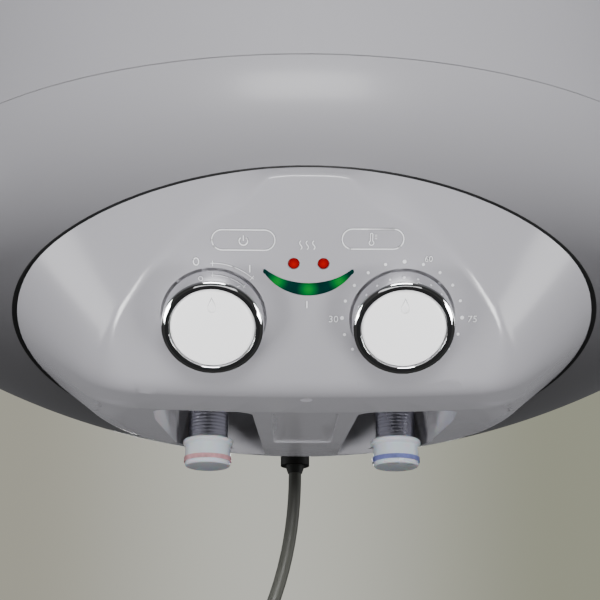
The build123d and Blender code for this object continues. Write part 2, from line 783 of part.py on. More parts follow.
with BuildPart() as smile_lens:
    extrude(to_extrude=smile_face(-5.3, 1.2), amount=0.8)
    extrude(to_extrude=smile_face(-5.3, 0), amount=5.3 + LENS_TOP)
smile_lens.part.label = "smile_lens"

LAMPS = [(-RED_X, RED_T), (RED_X, RED_T), (-12.6, 16.6), (0.0, 12.6), (12.6, 16.6)]
with BuildPart() as lamp_board:
    with BuildSketch(FACE.offset(BOARD_W)):
        with Locations((0, 16.8)):
            RectangleRounded(BOARD_X, 29, 1.5)
        with Locations(*POSTS):
            Circle(1.2, mode=Mode.SUBTRACT)
    extrude(amount=-BOARD_T)
lamp_board.part.label = "lamp_board"

with BuildPart() as lamps:
    for x, t in LAMPS:
        with BuildSketch(on_face(x, t, BOARD_W)):
            Circle(1.9)
        extrude(amount=0.8)
        with BuildSketch(on_face(x, t, BOARD_W)):
            Circle(1.5)
        extrude(amount=3.4)
lamps.part.label = "lamps"

with BuildPart() as board_screws:
    for x, t in POSTS:
        with BuildSketch(on_face(x, t, BOARD_W - BOARD_T)):
            Circle(2.0)
        extrude(amount=-1.3)
        with BuildSketch(on_face(x, t, BOARD_W - BOARD_T)):
            Circle(1.0)
        extrude(amount=BOARD_T + 3.6)
board_screws.part.label = "board_screws"

# Tank
def tank_body(inset):
    """The tank's vessel as a solid drawn in by `inset`."""
    half = (TANK_TOP - TANK_Z) / 2 + 1
    with BuildPart() as vessel:
        add(dished(TANK_FRONT, TANK_R, TANK_CROWN_R, TANK_KNUCKLE_R, inset, half))
        add(dished(TANK_TOP_FRONT, TANK_R, TANK_CROWN_R, TANK_KNUCKLE_R, inset, half))
    return vessel.part


RING_Z = FLANGE_Z + PLATE_T + FLANGE_GASKET_T
with BuildPart() as inner_tank:
    add(tank_body(0))
    with BuildSketch(up(RING_Z)):
        with Locations((0, FLANGE_Y)):
            Circle(NECK_R)
    extrude(amount=TANK_Z + 30 - RING_Z)
    with BuildSketch(up(RING_Z)):
        with Locations((0, FLANGE_Y)):
            Circle(FLANGE_R)
    extrude(amount=RING_T)
    add(tank_body(TANK_WALL), mode=Mode.SUBTRACT)
    with BuildSketch(up(RING_Z)):
        with Locations((0, FLANGE_Y)):
            Circle(NECK_BORE)
    extrude(amount=TANK_Z + 60 - RING_Z, mode=Mode.SUBTRACT)
    with BuildSketch(up(0)):
        with Locations((-PIPE_X, 0), (PIPE_X, 0)):
            Circle(STEM_R + SEAT_GAP)
    extrude(amount=TANK_Z + 60, mode=Mode.SUBTRACT)
inner_tank.part.label = "inner_tank"

with BuildPart() as foam_insulation:
    add(dished(FRONT, BODY_R, DISH_R, KNUCKLE_R, 2 * SHEET_T + 2 * SEAT_GAP, BODY_H / 2))
    add(dished(TOP_FRONT, BODY_R, TOP_CROWN_R, TOP_KNUCKLE_R, 2 * SHEET_T + 2 * SEAT_GAP, BODY_H / 2))
    add(tank_body(-SEAT_GAP), mode=Mode.SUBTRACT)
    with BuildSketch(Plane(origin=at(0, COVER_Y, -40))):
        Ellipse(RIM_X - RIM_SEAT, RIM_Y - RIM_SEAT)
    extrude(amount=40 + TANK_Z + 28, mode=Mode.SUBTRACT)
    with BuildSketch(up(-10)):
        with Locations((CORD_X, CORD_Y)):
            Rectangle(26, 130, align=(Align.CENTER, Align.CENTER))
    extrude(amount=60, mode=Mode.SUBTRACT)
foam_insulation.part.label = "foam_insulation"

with BuildPart() as flange_gasket:
    with BuildSketch(up(FLANGE_Z + PLATE_T)):
        with Locations((0, FLANGE_Y)):
            Circle(FLANGE_R - 1)
            Circle(NECK_BORE + 1, mode=Mode.SUBTRACT)
            with PolarLocations(STUD_CIRCLE, 6, start_angle=30):
                Circle(STUD_R + 0.3, mode=Mode.SUBTRACT)
    extrude(amount=FLANGE_GASKET_T)
flange_gasket.part.label = "flange_gasket"

with BuildPart() as flange_plate:
    with BuildSketch(up(FLANGE_Z)):
        with Locations((0, FLANGE_Y)):
            Circle(FLANGE_R)
            with PolarLocations(STUD_CIRCLE, 6, start_angle=30):
                Circle(STUD_R + 0.3, mode=Mode.SUBTRACT)
            with Locations(
                (-ELEMENT_X, -ELEMENT_HALF),
                (-ELEMENT_X, ELEMENT_HALF),
                (ELEMENT_X, -ELEMENT_HALF),
                (ELEMENT_X, ELEMENT_HALF),
            ):
                Circle(ELEMENT_R + SEAT_GAP, mode=Mode.SUBTRACT)
            with Locations((0, 24)):
                Circle(WELL_TUBE_R + SEAT_GAP, mode=Mode.SUBTRACT)
            Circle(4.0 + SEAT_GAP, mode=Mode.SUBTRACT)
    extrude(amount=PLATE_T)
flange_plate.part.label = "flange_plate"

with BuildPart() as flange_studs:
    with BuildSketch(up(FLANGE_Z - 0.1)):
        with Locations((0, FLANGE_Y)):
            with PolarLocations(STUD_CIRCLE, 6, start_angle=30):
                Circle(STUD_R)
    extrude(amount=PLATE_T + FLANGE_GASKET_T + 0.1)
    with BuildSketch(up(FLANGE_Z - SEAT_GAP - STRIP_T - 0.1)):
        with Locations((0, FLANGE_Y)):
            with PolarLocations(STUD_CIRCLE, 6, start_angle=30):
                Circle(STUD_R)
    extrude(amount=SEAT_GAP + STRIP_T + 0.1)
    with BuildSketch(up(FLANGE_Z - SEAT_GAP - STRIP_T - 0.1)):
        with Locations((0, FLANGE_Y)):
            with PolarLocations(STUD_CIRCLE, 6, start_angle=30):
                RegularPolygon(5.0, 6)
    extrude(amount=-NUT_TALL)
flange_studs.part.label = "flange_studs"


def heating_element(x, name):
    """A hairpin heating rod with its two terminal pins under the flange."""
    start = FLANGE_Z - 6
    with BuildPart() as rod:
        with BuildLine(Plane(origin=at(x, FLANGE_Y, 0), x_dir=(0, 1, 0), z_dir=(1, 0, 0))) as route:
            Line((-ELEMENT_HALF, start), (-ELEMENT_HALF, ELEMENT_TOP))
            ThreePointArc(
                (-ELEMENT_HALF, ELEMENT_TOP), (0, ELEMENT_TOP + ELEMENT_HALF), (ELEMENT_HALF, ELEMENT_TOP)
            )
            Line((ELEMENT_HALF, ELEMENT_TOP), (ELEMENT_HALF, start))
        with BuildSketch(Plane(origin=at(x, FLANGE_Y - ELEMENT_HALF, start))):
            Circle(ELEMENT_R)
        sweep()
        with BuildSketch(up(start)):
            with Locations((x, FLANGE_Y - ELEMENT_HALF), (x, FLANGE_Y + ELEMENT_HALF)):
                Circle(1.6)
        extrude(amount=-7)
    rod.part.label = name
    return rod


element_left = heating_element(-ELEMENT_X, "element_left")
element_right = heating_element(ELEMENT_X, "element_right")

with BuildPart() as anode_rod:
    with BuildSketch(up(RING_Z + 8)):
        with Locations((0, FLANGE_Y)):
            Circle(ANODE_R)
    extrude(amount=ANODE_TOP - RING_Z - 8)
    with BuildSketch(up(FLANGE_Z - 7)):
        with Locations((0, FLANGE_Y)):
            Circle(4.0)
    extrude(amount=RING_Z + 8 - FLANGE_Z + 7)
    with BuildSketch(up(FLANGE_Z - SEAT_GAP)):
        with Locations((0, FLANGE_Y)):
            RegularPolygon(6.5, 6)
    extrude(amount=-5)
anode_rod.part.label = "anode_rod"

WELL_TUBE_Y = FLANGE_Y + 24
with BuildPart() as thermowell:
    with BuildSketch(up(FLANGE_Z - 4)):
        with Locations((0, WELL_TUBE_Y)):
            Circle(WELL_TUBE_R)
    extrude(amount=WELL_TUBE_TOP - FLANGE_Z + 4)
    fillet(edges().sort_by(Axis.Z)[-1], 3)
    with BuildSketch(up(FLANGE_Z - 4)):
        with Locations((0, WELL_TUBE_Y)):
            Circle(WELL_TUBE_R + 2)
    extrude(amount=3.7)
    with BuildSketch(up(FLANGE_Z - 4)):
        with Locations((0, WELL_TUBE_Y)):
            Circle(BULB_R + 0.5)
    extrude(amount=WELL_TUBE_TOP - FLANGE_Z + 4 - 5, mode=Mode.SUBTRACT)
thermowell.part.label = "thermowell"

with BuildPart() as thermostat_bulb:
    with BuildSketch(up(WELL_TUBE_TOP - 6 - BULB_L)):
        with Locations((0, WELL_TUBE_Y)):
            Circle(BULB_R)
    extrude(amount=BULB_L)
thermostat_bulb.part.label = "thermostat_bulb"


def water_pipe(x, top, name):
    """A threaded nipple under the body and its pipe up into the tank."""
    with BuildPart() as pipe:
        with BuildSketch(up(NIPPLE_END)):
            with Locations((x, 0)):
                Circle(NIPPLE_R)
        extrude(amount=NIPPLE_L)
        with BuildSketch(up(NIPPLE_END + NIPPLE_L)):
            with Locations((x, 0)):
                Circle(STEM_R)
        extrude(amount=TANK_Z + 12 - NIPPLE_END - NIPPLE_L)
        with BuildSketch(up(TANK_Z + 12)):
            with Locations((x, 0)):
                Circle(PIPE_R)
        extrude(amount=top - TANK_Z - 12)
        with BuildSketch(up(TANK_Z - 6)):
            with Locations((x, 0)):
                Circle(STEM_R + 4)
        extrude(amount=11)
        add(collar_cut.part, mode=Mode.SUBTRACT)
        with BuildSketch(up(NIPPLE_END)):
            with Locations((x, 0)):
                Circle(NIPPLE_BORE)
        extrude(amount=top - NIPPLE_END, mode=Mode.SUBTRACT)
        chamfer(edges().filter_by(GeomType.CIRCLE).group_by(Axis.Z)[0].sort_by(SortBy.RADIUS)[-1], 0.4)
    pipe.part.label = name
    return pipe


with BuildPart() as collar_cut:
    add(tank_body(-SEAT_GAP))
    with BuildSketch(up(0)):
        with Locations((-PIPE_X, 0), (PIPE_X, 0)):
            Circle(STEM_R)
    extrude(amount=BODY_H, mode=Mode.SUBTRACT)

hot_pipe = water_pipe(-PIPE_X, TANK_TOP - 40, "hot_pipe")
cold_pipe = water_pipe(PIPE_X, TANK_Z + 35, "cold_pipe")

with BuildPart() as inlet_diffuser:
    with BuildSketch(up(TANK_Z + 25)):
        with Locations((PIPE_X, 0)):
            Circle(14)
            Circle(PIPE_R + SEAT_GAP, mode=Mode.SUBTRACT)
    extrude(amount=24)
    with BuildSketch(up(TANK_Z + 49)):
        with Locations((PIPE_X, 0)):
            Circle(14)
    extrude(amount=2)
    with BuildSketch(Plane(origin=at(PIPE_X, 0, TANK_Z + 43), x_dir=(1, 0, 0), z_dir=(0, -1, 0))):
        Rectangle(12, 7)
    extrude(amount=20, both=True, mode=Mode.SUBTRACT)
inlet_diffuser.part.label = "inlet_diffuser"


def transport_cap(x, name):
    """The loose push-on cap over a nipple, open at the top with a turned-out rim."""
    with BuildPart() as cap:
        with BuildSketch(up(CAP_TOP)):
            with Locations((x, 0)):
                Circle(CAP_FLANGE_R)
        extrude(amount=-CAP_FLANGE_T)
        with BuildSketch(up(CAP_TOP)):
            with Locations((x, 0)):
                Circle(CAP_R)
        extrude(amount=-CAP_TALL)
        fillet(edges().sort_by(Axis.Z)[0], 0.6)
        with BuildSketch(up(CAP_TOP)):
            with Locations((x, 0)):
                Circle(CAP_BORE)
        extrude(amount=-CAP_TALL + CAP_FLOOR, mode=Mode.SUBTRACT)
    cap.part.label = name
    return cap


def cap_band(x, name):
    """The coloured marking band round a transport cap."""
    with BuildPart() as band:
        with BuildSketch(up(CAP_TOP - CAP_TALL + BAND_UP)):
            with Locations((x, 0)):
                Circle(CAP_R + 0.1 + BAND_T)
                Circle(CAP_R + 0.1, mode=Mode.SUBTRACT)
        extrude(amount=BAND_TALL)
    band.part.label = name
    return band


hot_cap = transport_cap(-PIPE_X, "hot_cap")
cold_cap = transport_cap(PIPE_X, "cold_cap")
hot_band = cap_band(-PIPE_X, "hot_band")
cold_band = cap_band(PIPE_X, "cold_band")

# Thermal cut-out and its reset button
CUTOUT_Y = -100.0
RESET_R = 3.0
RESET_TRAVEL = 1.5
RESET_OUT = 2.0
CUTOUT_TALL = 15.0
CUTOUT_Z = FLANGE_Z - SEAT_GAP - CUTOUT_TALL
with BuildPart() as thermal_cutout:
    with BuildSketch(up(CUTOUT_Z)):
        with Locations((0, CUTOUT_Y)):
            RectangleRounded(24, 20, 2)
    extrude(amount=CUTOUT_TALL)
    with BuildSketch(Plane(origin=at(0, CUTOUT_Y, CUTOUT_Z + 6), x_dir=(0, 1, 0), z_dir=(1, 0, 0))):
        with Locations((-5, 0), (5, 0)):
            Rectangle(5, 0.8)
    extrude(amount=17, both=True)
    with BuildSketch(up(CUTOUT_Z)):
        with Locations((0, CUTOUT_Y)):
            Circle(RESET_R + 0.1)
    extrude(amount=9, mode=Mode.SUBTRACT)
thermal_cutout.part.label = "thermal_cutout"

with BuildPart() as reset_button:
    with BuildSketch(up(CUTOUT_Z - RESET_OUT)):
        with Locations((0, CUTOUT_Y)):
            Circle(RESET_R)
    extrude(amount=RESET_OUT + 6)
reset_button.part.label = "reset_button"

# Supply: block, lead, gland
BLOCK_AT = -56.0
BLOCK_L = 30.0
BLOCK_X = 34.0
BLOCK_TALL = 16.0
LEAD_W = -COVER_T - SEAT_GAP - BLOCK_TALL / 2
with BuildPart() as terminal_block:
    with BuildSketch(UNDER.offset(-COVER_T - SEAT_GAP)):
        with Locations((0, BLOCK_AT)):
            Rectangle(BLOCK_X, BLOCK_L)
    extrude(amount=-BLOCK_TALL)
    with BuildSketch(UNDER.offset(-COVER_T - SEAT_GAP - BLOCK_TALL)):
        with Locations((0, BLOCK_AT)):
            with GridLocations(10, 16, 3, 2):
                Circle(2.6)
    extrude(amount=7, mode=Mode.SUBTRACT)
terminal_block.part.label = "terminal_block"

GLAND_TOP = 16.0
lead_end = UNDER.from_local_coords((CORD_X, BLOCK_AT - BLOCK_L / 2 - 8, LEAD_W))
lead_turn = UNDER.from_local_coords((CORD_X, BLOCK_AT - BLOCK_L / 2 - 44, LEAD_W))
with BuildPart() as supply_lead:
    with BuildLine() as lead_route:
        FilletPolyline(
            at(CORD_X, CORD_Y, GLAND_TOP),
            at(CORD_X, CORD_Y, 35),
            at(CORD_X, CORD_Y - 28, 34),
            lead_turn,
            lead_end,
            radius=[8.0, 45.0, 60.0],
        )
    with BuildSketch(Plane(origin=at(CORD_X, CORD_Y, GLAND_TOP))):
        Circle(CORD_R)
    sweep()
supply_lead.part.label = "supply_lead"

with BuildPart() as supply_wires:
    wire_plane = Plane(origin=lead_end, x_dir=(1, 0, 0), z_dir=-UNDER.y_dir)
    with BuildSketch(wire_plane):
        with Locations((-2.0, -0.8), (2.0, -0.8), (0, 1.8)):
            Circle(1.2)
    extrude(amount=-8)
supply_wires.part.label = "supply_wires"

with BuildPart() as cord_clamp:
    with BuildSketch(Plane(origin=UNDER.from_local_coords((CORD_X, BLOCK_AT - BLOCK_L / 2 - 22, 0)), x_dir=(1, 0, 0), z_dir=-UNDER.y_dir)):
        with Locations((0, LEAD_W)):
            RectangleRounded(24, 2 * (-LEAD_W - COVER_T - SEAT_GAP), 2)
            Circle(CORD_R + 0.3, mode=Mode.SUBTRACT)
    extrude(amount=4, both=True)
cord_clamp.part.label = "cord_clamp"

with BuildPart() as gland_trim:
    add(bottom_dish(-SEAT_GAP, DISH_DEPTH + 60))
    with BuildSketch(up(-20)):
        with Locations((CORD_X, CORD_Y)):
            Circle(CORD_R + 1.9)
    extrude(amount=100, mode=Mode.SUBTRACT)

with BuildPart() as cord_gland:
    with BuildSketch(up(GLAND_Z - 6)):
        with Locations((CORD_X, CORD_Y)):
            Circle(8.5)
    extrude(amount=8)
    with BuildSketch(up(GLAND_Z - 4)):
        with Locations((CORD_X, CORD_Y)):
            Circle(6.4)
    with BuildSketch(up(GLAND_END)):
        with Locations((CORD_X, CORD_Y)):
            Circle(CORD_R + 0.5)
    loft()
    add(gland_trim.part, mode=Mode.SUBTRACT)
    with BuildSketch(up(GLAND_Z - 4)):
        with Locations((CORD_X, CORD_Y)):
            Circle(CORD_R + 1.9)
    extrude(amount=GLAND_TOP - GLAND_Z + 4)
    with BuildSketch(up(GLAND_TOP)):
        with Locations((CORD_X, CORD_Y)):
            Circle(7.5)
    extrude(amount=-GLAND_TOP + GLAND_Z + 4.8)
cord_gland.part.label = "cord_gland"

# Cord, coil and plug
def biarc(p0, t0, p1, t1):
    """Two arcs, tangent where they meet, from p0 along t0 to p1 along t1; returns the joint."""
    v = p1 - p0
    t = t0 + t1
    a = 2 * (1 - t0.dot(t1))
    b = 2 * v.dot(t)
    c = -v.dot(v)
    if abs(a) < 1e-9:
        d = -c / b
    else:
        d = (-b + math.sqrt(b * b - 4 * a * c)) / (2 * a)
    q0 = p0 + t0 * d
    q1 = p1 - t1 * d
    joint = (q0 + q1) * 0.5
    return joint, (q1 - q0).normalized()


def coil_state(k):
    """Place and heading of the coil after k half turns; it enters and leaves heading down."""
    angle = math.pi * k
    y = CORD_Y + COIL_PITCH * k / 2
    place = Vector(*at(CORD_X - COIL_R * math.cos(angle), y, COIL_Z - COIL_R * math.sin(angle)))
    rise = COIL_PITCH / (2 * math.pi)
    if k in (0, 2 * COIL_TURNS):
        rise = 0.0
    heading = Vector(COIL_R * math.sin(angle), rise, -COIL_R * math.cos(angle)).normalized()
    return place, heading


ENTRY_X = CORD_X - COIL_R
cord_points = [
    at(CORD_X, CORD_Y, GLAND_END),
    at(CORD_X, CORD_Y, GLAND_END - 52),
    at(ENTRY_X, CORD_Y, COIL_Z + 50),
    at(ENTRY_X, CORD_Y, COIL_Z + COIL_LEAD),
]


def route_radii(points):
    """0.45 of the shorter run at each corner, divided by the tangent of half the turn."""
    radii = []
    for before, corner, after in zip(points, points[1:], points[2:]):
        a = Vector(*corner) - Vector(*before)
        b = Vector(*after) - Vector(*corner)
        half_turn = math.radians(a.get_angle(b)) / 2
        radii.append(0.45 * min(a.length, b.length) / math.tan(half_turn))
    return radii


cord_radii = route_radii(cord_points)
print("cord radii", [round(r, 1) for r in cord_radii])
with BuildPart() as power_cord:
    with BuildLine() as cord_route:
        FilletPolyline(*cord_points, radius=cord_radii)
    with BuildSketch(Plane(origin=cord_points[0], z_dir=(0, 0, -1))):
        Circle(CORD_R)
    sweep()
power_cord.part.label = "power_cord"
cord_free = cord_route.wires()[0].length

tail_end = at(ENTRY_X, CORD_Y + COIL_PITCH * COIL_TURNS, COIL_Z - TAIL)
with BuildPart() as power_cord_coil:
    with BuildLine() as coil_route:
        Line(cord_points[-1], coil_state(0)[0])
        for k in range(2 * COIL_TURNS):
            start, heading = coil_state(k)
            end, last_heading = coil_state(k + 1)
            joint, middle = biarc(start, heading, end, last_heading)
            TangentArc(start, joint, tangent=heading)
            TangentArc(joint, end, tangent=middle)
        Line(coil_state(2 * COIL_TURNS)[0], tail_end)
    with BuildSketch(Plane(origin=cord_points[-1], z_dir=(0, 0, -1))):
        Circle(CORD_R)
    sweep()
power_cord_coil.part.label = "power_cord_coil"
coil_wire = coil_route.wires()[0]
coil_length = coil_wire.length
samples = [coil_wire.position_at(i / 480) for i in range(481)]
apart = coil_length * 0.1
least = 1e9
for i, p in enumerate(samples):
    for j in range(i + 1, len(samples)):
        if (j - i) * coil_length / 480 > apart:
            least = min(least, (p - samples[j]).length)
print("cord free", round(cord_free, 1), "coil", round(coil_length, 1), "least gap", round(least - 2 * CORD_R, 2))

bundle_y = CORD_Y + COIL_PITCH * COIL_TURNS / 2
with BuildPart() as coil_tie:
    with BuildSketch(Plane(origin=at(CORD_X + COIL_R, bundle_y, COIL_Z - 3.5))):
        RectangleRounded(2 * CORD_R + 3.4, COIL_PITCH * COIL_TURNS + 2.4, 3)
        RectangleRounded(2 * CORD_R + 1.0, COIL_PITCH * COIL_TURNS, 2, mode=Mode.SUBTRACT)
    extrude(amount=7)
coil_tie.part.label = "coil_tie"

PLUG_AT = (ENTRY_X, CORD_Y + COIL_PITCH * COIL_TURNS)
PLUG_TOP = COIL_Z - TAIL
with BuildPart() as plug_body:
    with BuildSketch(up(PLUG_TOP)):
        with Locations(PLUG_AT):
            Circle(CORD_R + 1.2)
    with BuildSketch(up(PLUG_TOP - PLUG_RELIEF)):
        with Locations(PLUG_AT):
            Circle(CORD_R + 4.0)
    loft()
    with BuildSketch(up(PLUG_TOP - PLUG_RELIEF)):
        with Locations(PLUG_AT):
            Circle(PLUG_R)
    extrude(amount=-PLUG_BODY)
    fillet(edges().filter_by(GeomType.CIRCLE).filter_by(lambda e: abs(e.radius - PLUG_R) < 0.01), 3)
    with BuildSketch(up(PLUG_TOP - PLUG_RELIEF - PLUG_BODY)):
        with Locations(PLUG_AT):
            with Locations((PLUG_R, 0), (-PLUG_R, 0)):
                Rectangle(5, 6)
    extrude(amount=16, mode=Mode.SUBTRACT)
    with BuildSketch(up(PLUG_TOP - PLUG_RELIEF - PLUG_BODY)):
        with Locations((PLUG_AT[0], PLUG_AT[1])):
            with Locations((0, PIN_SPACING / 2), (0, -PIN_SPACING / 2)):
                Circle(PIN_R + 0.05)
    extrude(amount=12, mode=Mode.SUBTRACT)
plug_body.part.label = "plug_body"

with BuildPart() as plug_pins:
    for side in (-1, 1):
        with BuildSketch(up(PLUG_TOP - PLUG_RELIEF - PLUG_BODY + 11)):
            with Locations((PLUG_AT[0], PLUG_AT[1] + side * PIN_SPACING / 2)):
                Circle(PIN_R)
        extrude(amount=-11 - PIN_L)
    fillet(edges().group_by(Axis.Z)[0], 1.2)
plug_pins.part.label = "plug_pins"

# Written pieces
pieces = [
    outer_shell, top_cap, bottom_cap, wall_bracket, wall_spacer, control_cover, cover_gasket,
    cover_strip, cover_screw, power_knob_ring, temp_knob_ring, power_knob_disc, temp_knob_disc,
    power_knob_core, temp_knob_core, power_shaft, temp_shaft, power_switch, thermostat,
    switch_screws, thermostat_screws, red_lens_left, red_lens_right, smile_lens, lamp_board,
    lamps, board_screws, inner_tank, foam_insulation, flange_gasket, flange_plate, flange_studs,
    element_left, element_right, anode_rod, thermowell, thermostat_bulb, hot_pipe, cold_pipe,
    inlet_diffuser, hot_cap, cold_cap, hot_band, cold_band, thermal_cutout, reset_button,
    terminal_block, supply_lead, supply_wires, cord_clamp, cord_gland, power_cord,
    power_cord_coil, coil_tie, plug_body, plug_pins,
]
for item in pieces:
    export_step(item.part, "parts/" + item.part.label + ".step")
print(len(pieces), "pieces written")
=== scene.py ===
"""Dressed model of a vertical wall-hung storage water heater, seen from below its control cover.

Lengths are metres unless a name says mm.  The frame's origin is the middle of the hanging bracket
on the wall face, +Z is up and the front faces -Y.  Most sizes are given from the lowest point of
the body, `BODY_FOOT`, in millimetres, and turned into metres by `place`.
"""
from __future__ import annotations

import json
import logging
import math
from dataclasses import dataclass, field
from enum import Enum

import bmesh
import bpy
from mathutils import Matrix, Vector
from mathutils.bvhtree import BVHTree

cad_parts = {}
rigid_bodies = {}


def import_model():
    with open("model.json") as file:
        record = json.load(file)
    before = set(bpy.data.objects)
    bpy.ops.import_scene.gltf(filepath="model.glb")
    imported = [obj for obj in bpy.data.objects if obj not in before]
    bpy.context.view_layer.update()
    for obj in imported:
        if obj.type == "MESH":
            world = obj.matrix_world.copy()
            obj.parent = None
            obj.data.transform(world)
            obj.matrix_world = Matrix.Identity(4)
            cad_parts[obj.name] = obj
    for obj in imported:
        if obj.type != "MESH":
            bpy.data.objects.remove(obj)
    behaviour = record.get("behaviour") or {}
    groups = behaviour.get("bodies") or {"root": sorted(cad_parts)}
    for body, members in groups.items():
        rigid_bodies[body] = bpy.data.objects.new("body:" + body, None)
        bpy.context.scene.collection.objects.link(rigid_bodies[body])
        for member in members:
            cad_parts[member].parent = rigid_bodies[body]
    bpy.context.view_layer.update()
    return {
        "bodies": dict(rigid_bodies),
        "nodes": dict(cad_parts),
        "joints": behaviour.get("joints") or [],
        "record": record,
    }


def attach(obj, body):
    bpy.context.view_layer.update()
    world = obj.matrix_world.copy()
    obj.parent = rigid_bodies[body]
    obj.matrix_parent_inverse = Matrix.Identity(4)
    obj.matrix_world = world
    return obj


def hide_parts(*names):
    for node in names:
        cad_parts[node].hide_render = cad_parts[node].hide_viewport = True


LOG = logging.getLogger("heater")
MM = 0.001
BODY_FOOT = Vector((0.0, -0.250, -0.440))
SLANT = math.sqrt(0.5)
NOISE_LOW = 0.3
NOISE_HIGH = 0.7
WELD = 1e-7
JUST_UNDER = 1e-6
NEAR_AXIS = 0.9
MOST_OF_EDGE = 0.49
KNOB_X = 38.5
STUB_X = 50.0

Colour = tuple[float, float, float]
Triple = tuple[float, float, float]
Pair = tuple[float, float]
Table = tuple[Pair, ...]


def place(x: float, y: float, z: float) -> Vector:
    """A point given in millimetres from the lowest point of the body.

    Args:
        x: Distance to the right.
        y: Distance towards the wall from the body's axis.
        z: Height.

    Returns:
        The point in the frame, in metres.
    """
    return BODY_FOOT + Vector((x, y, z)) * MM


def linear(colour: Colour) -> tuple[float, float, float, float]:
    """Turns a colour as it is seen, 0 to 255, into the linear value that a shader takes."""
    parts = []
    for level in colour:
        c = level / 255
        parts.append(c / 12.92 if c <= 0.04045 else ((c + 0.055) / 1.055) ** 2.4)
    return (parts[0], parts[1], parts[2], 1.0)


class Control(Enum):
    """The two controls on the fascia."""

    POWER = "power"
    TEMPERATURE = "temp"


class Water(Enum):
    """The two pipe stubs under the body."""

    HOT = "hot"
    COLD = "cold"


# Finishes


class NodeSheet:
    """The node tree of one material, with short calls for the nodes used here."""

    def __init__(self, name: str) -> None:
        """Starts a material with one Principled shader.

        Args:
            name: Name of the material.
        """
        self.material = bpy.data.materials.new(name)
        self.material.use_nodes = True
        self.nodes = self.material.node_tree.nodes
        self.links = self.material.node_tree.links
        self.shader = self.nodes["Principled BSDF"]
        self.coordinates = self.nodes.new("ShaderNodeTexCoord")

    def join(self, out: bpy.types.NodeSocket, into: bpy.types.NodeSocket) -> None:
        """Links one socket to another."""
        self.links.new(out, into)

    def stretched(self, scale: Triple) -> bpy.types.NodeSocket:
        """Object coordinates scaled along each axis.

        Args:
            scale: Factor along x, y and z.

        Returns:
            The vector socket.
        """
        mapping = self.nodes.new("ShaderNodeMapping")
        mapping.inputs["Scale"].default_value = scale
        self.join(self.coordinates.outputs["Object"], mapping.inputs["Vector"])
        return mapping.outputs["Vector"]

    def noise(
        self, scale: float, detail: float = 2.0, stretch: Triple = (1, 1, 1)
    ) -> bpy.types.NodeSocket:
        """A noise value.

        Args:
            scale: Cells a metre, about.
            detail: Octaves.
            stretch: Factor along each axis.

        Returns:
            The factor socket.
        """
        node = self.nodes.new("ShaderNodeTexNoise")
        node.inputs["Scale"].default_value = scale
        node.inputs["Detail"].default_value = detail
        self.join(self.stretched(stretch), node.inputs["Vector"])
        return node.outputs["Fac"]

    def spread(self, value: bpy.types.NodeSocket, low: float, high: float) -> bpy.types.NodeSocket:
        """Spreads a noise value over a range.

        Args:
            value: The socket to read.
            low: Result at `NOISE_LOW`.
            high: Result at `NOISE_HIGH`.

        Returns:
            The result socket.
        """
        node = self.nodes.new("ShaderNodeMapRange")
        node.inputs["From Min"].default_value = NOISE_LOW
        node.inputs["From Max"].default_value = NOISE_HIGH
        node.inputs["To Min"].default_value = low
        node.inputs["To Max"].default_value = high
        self.join(value, node.inputs["Value"])
        return node.outputs["Result"]

    def tones(self, value: bpy.types.NodeSocket, first: Colour, second: Colour) -> None:
        """Mixes two tones into the base colour by a noise value.

        Args:
            value: The mixing socket.
            first: Tone at `NOISE_LOW`.
            second: Tone at `NOISE_HIGH`.
        """
        ramp = self.nodes.new("ShaderNodeValToRGB")
        for element, position, tone in zip(
            ramp.color_ramp.elements, (NOISE_LOW, NOISE_HIGH), (first, second)
        ):
            element.position = position
            element.color = linear(tone)
        self.join(value, ramp.inputs["Fac"])
        self.join(ramp.outputs["Color"], self.shader.inputs["Base Color"])

    def relief(self, value: bpy.types.NodeSocket, depth: float, strength: float = 1.0) -> None:
        """Adds a bump from a value, on top of any bump made before.

        Args:
            value: The height socket.
            depth: Height of the relief in metres.
            strength: Share of the bump that shows.
        """
        bump = self.nodes.new("ShaderNodeBump")
        bump.inputs["Distance"].default_value = depth
        bump.inputs["Strength"].default_value = strength
        self.join(value, bump.inputs["Height"])
        into = self.shader.inputs["Normal"]
        if into.is_linked:
            self.join(into.links[0].from_socket, bump.inputs["Normal"])
        self.join(bump.outputs["Normal"], into)


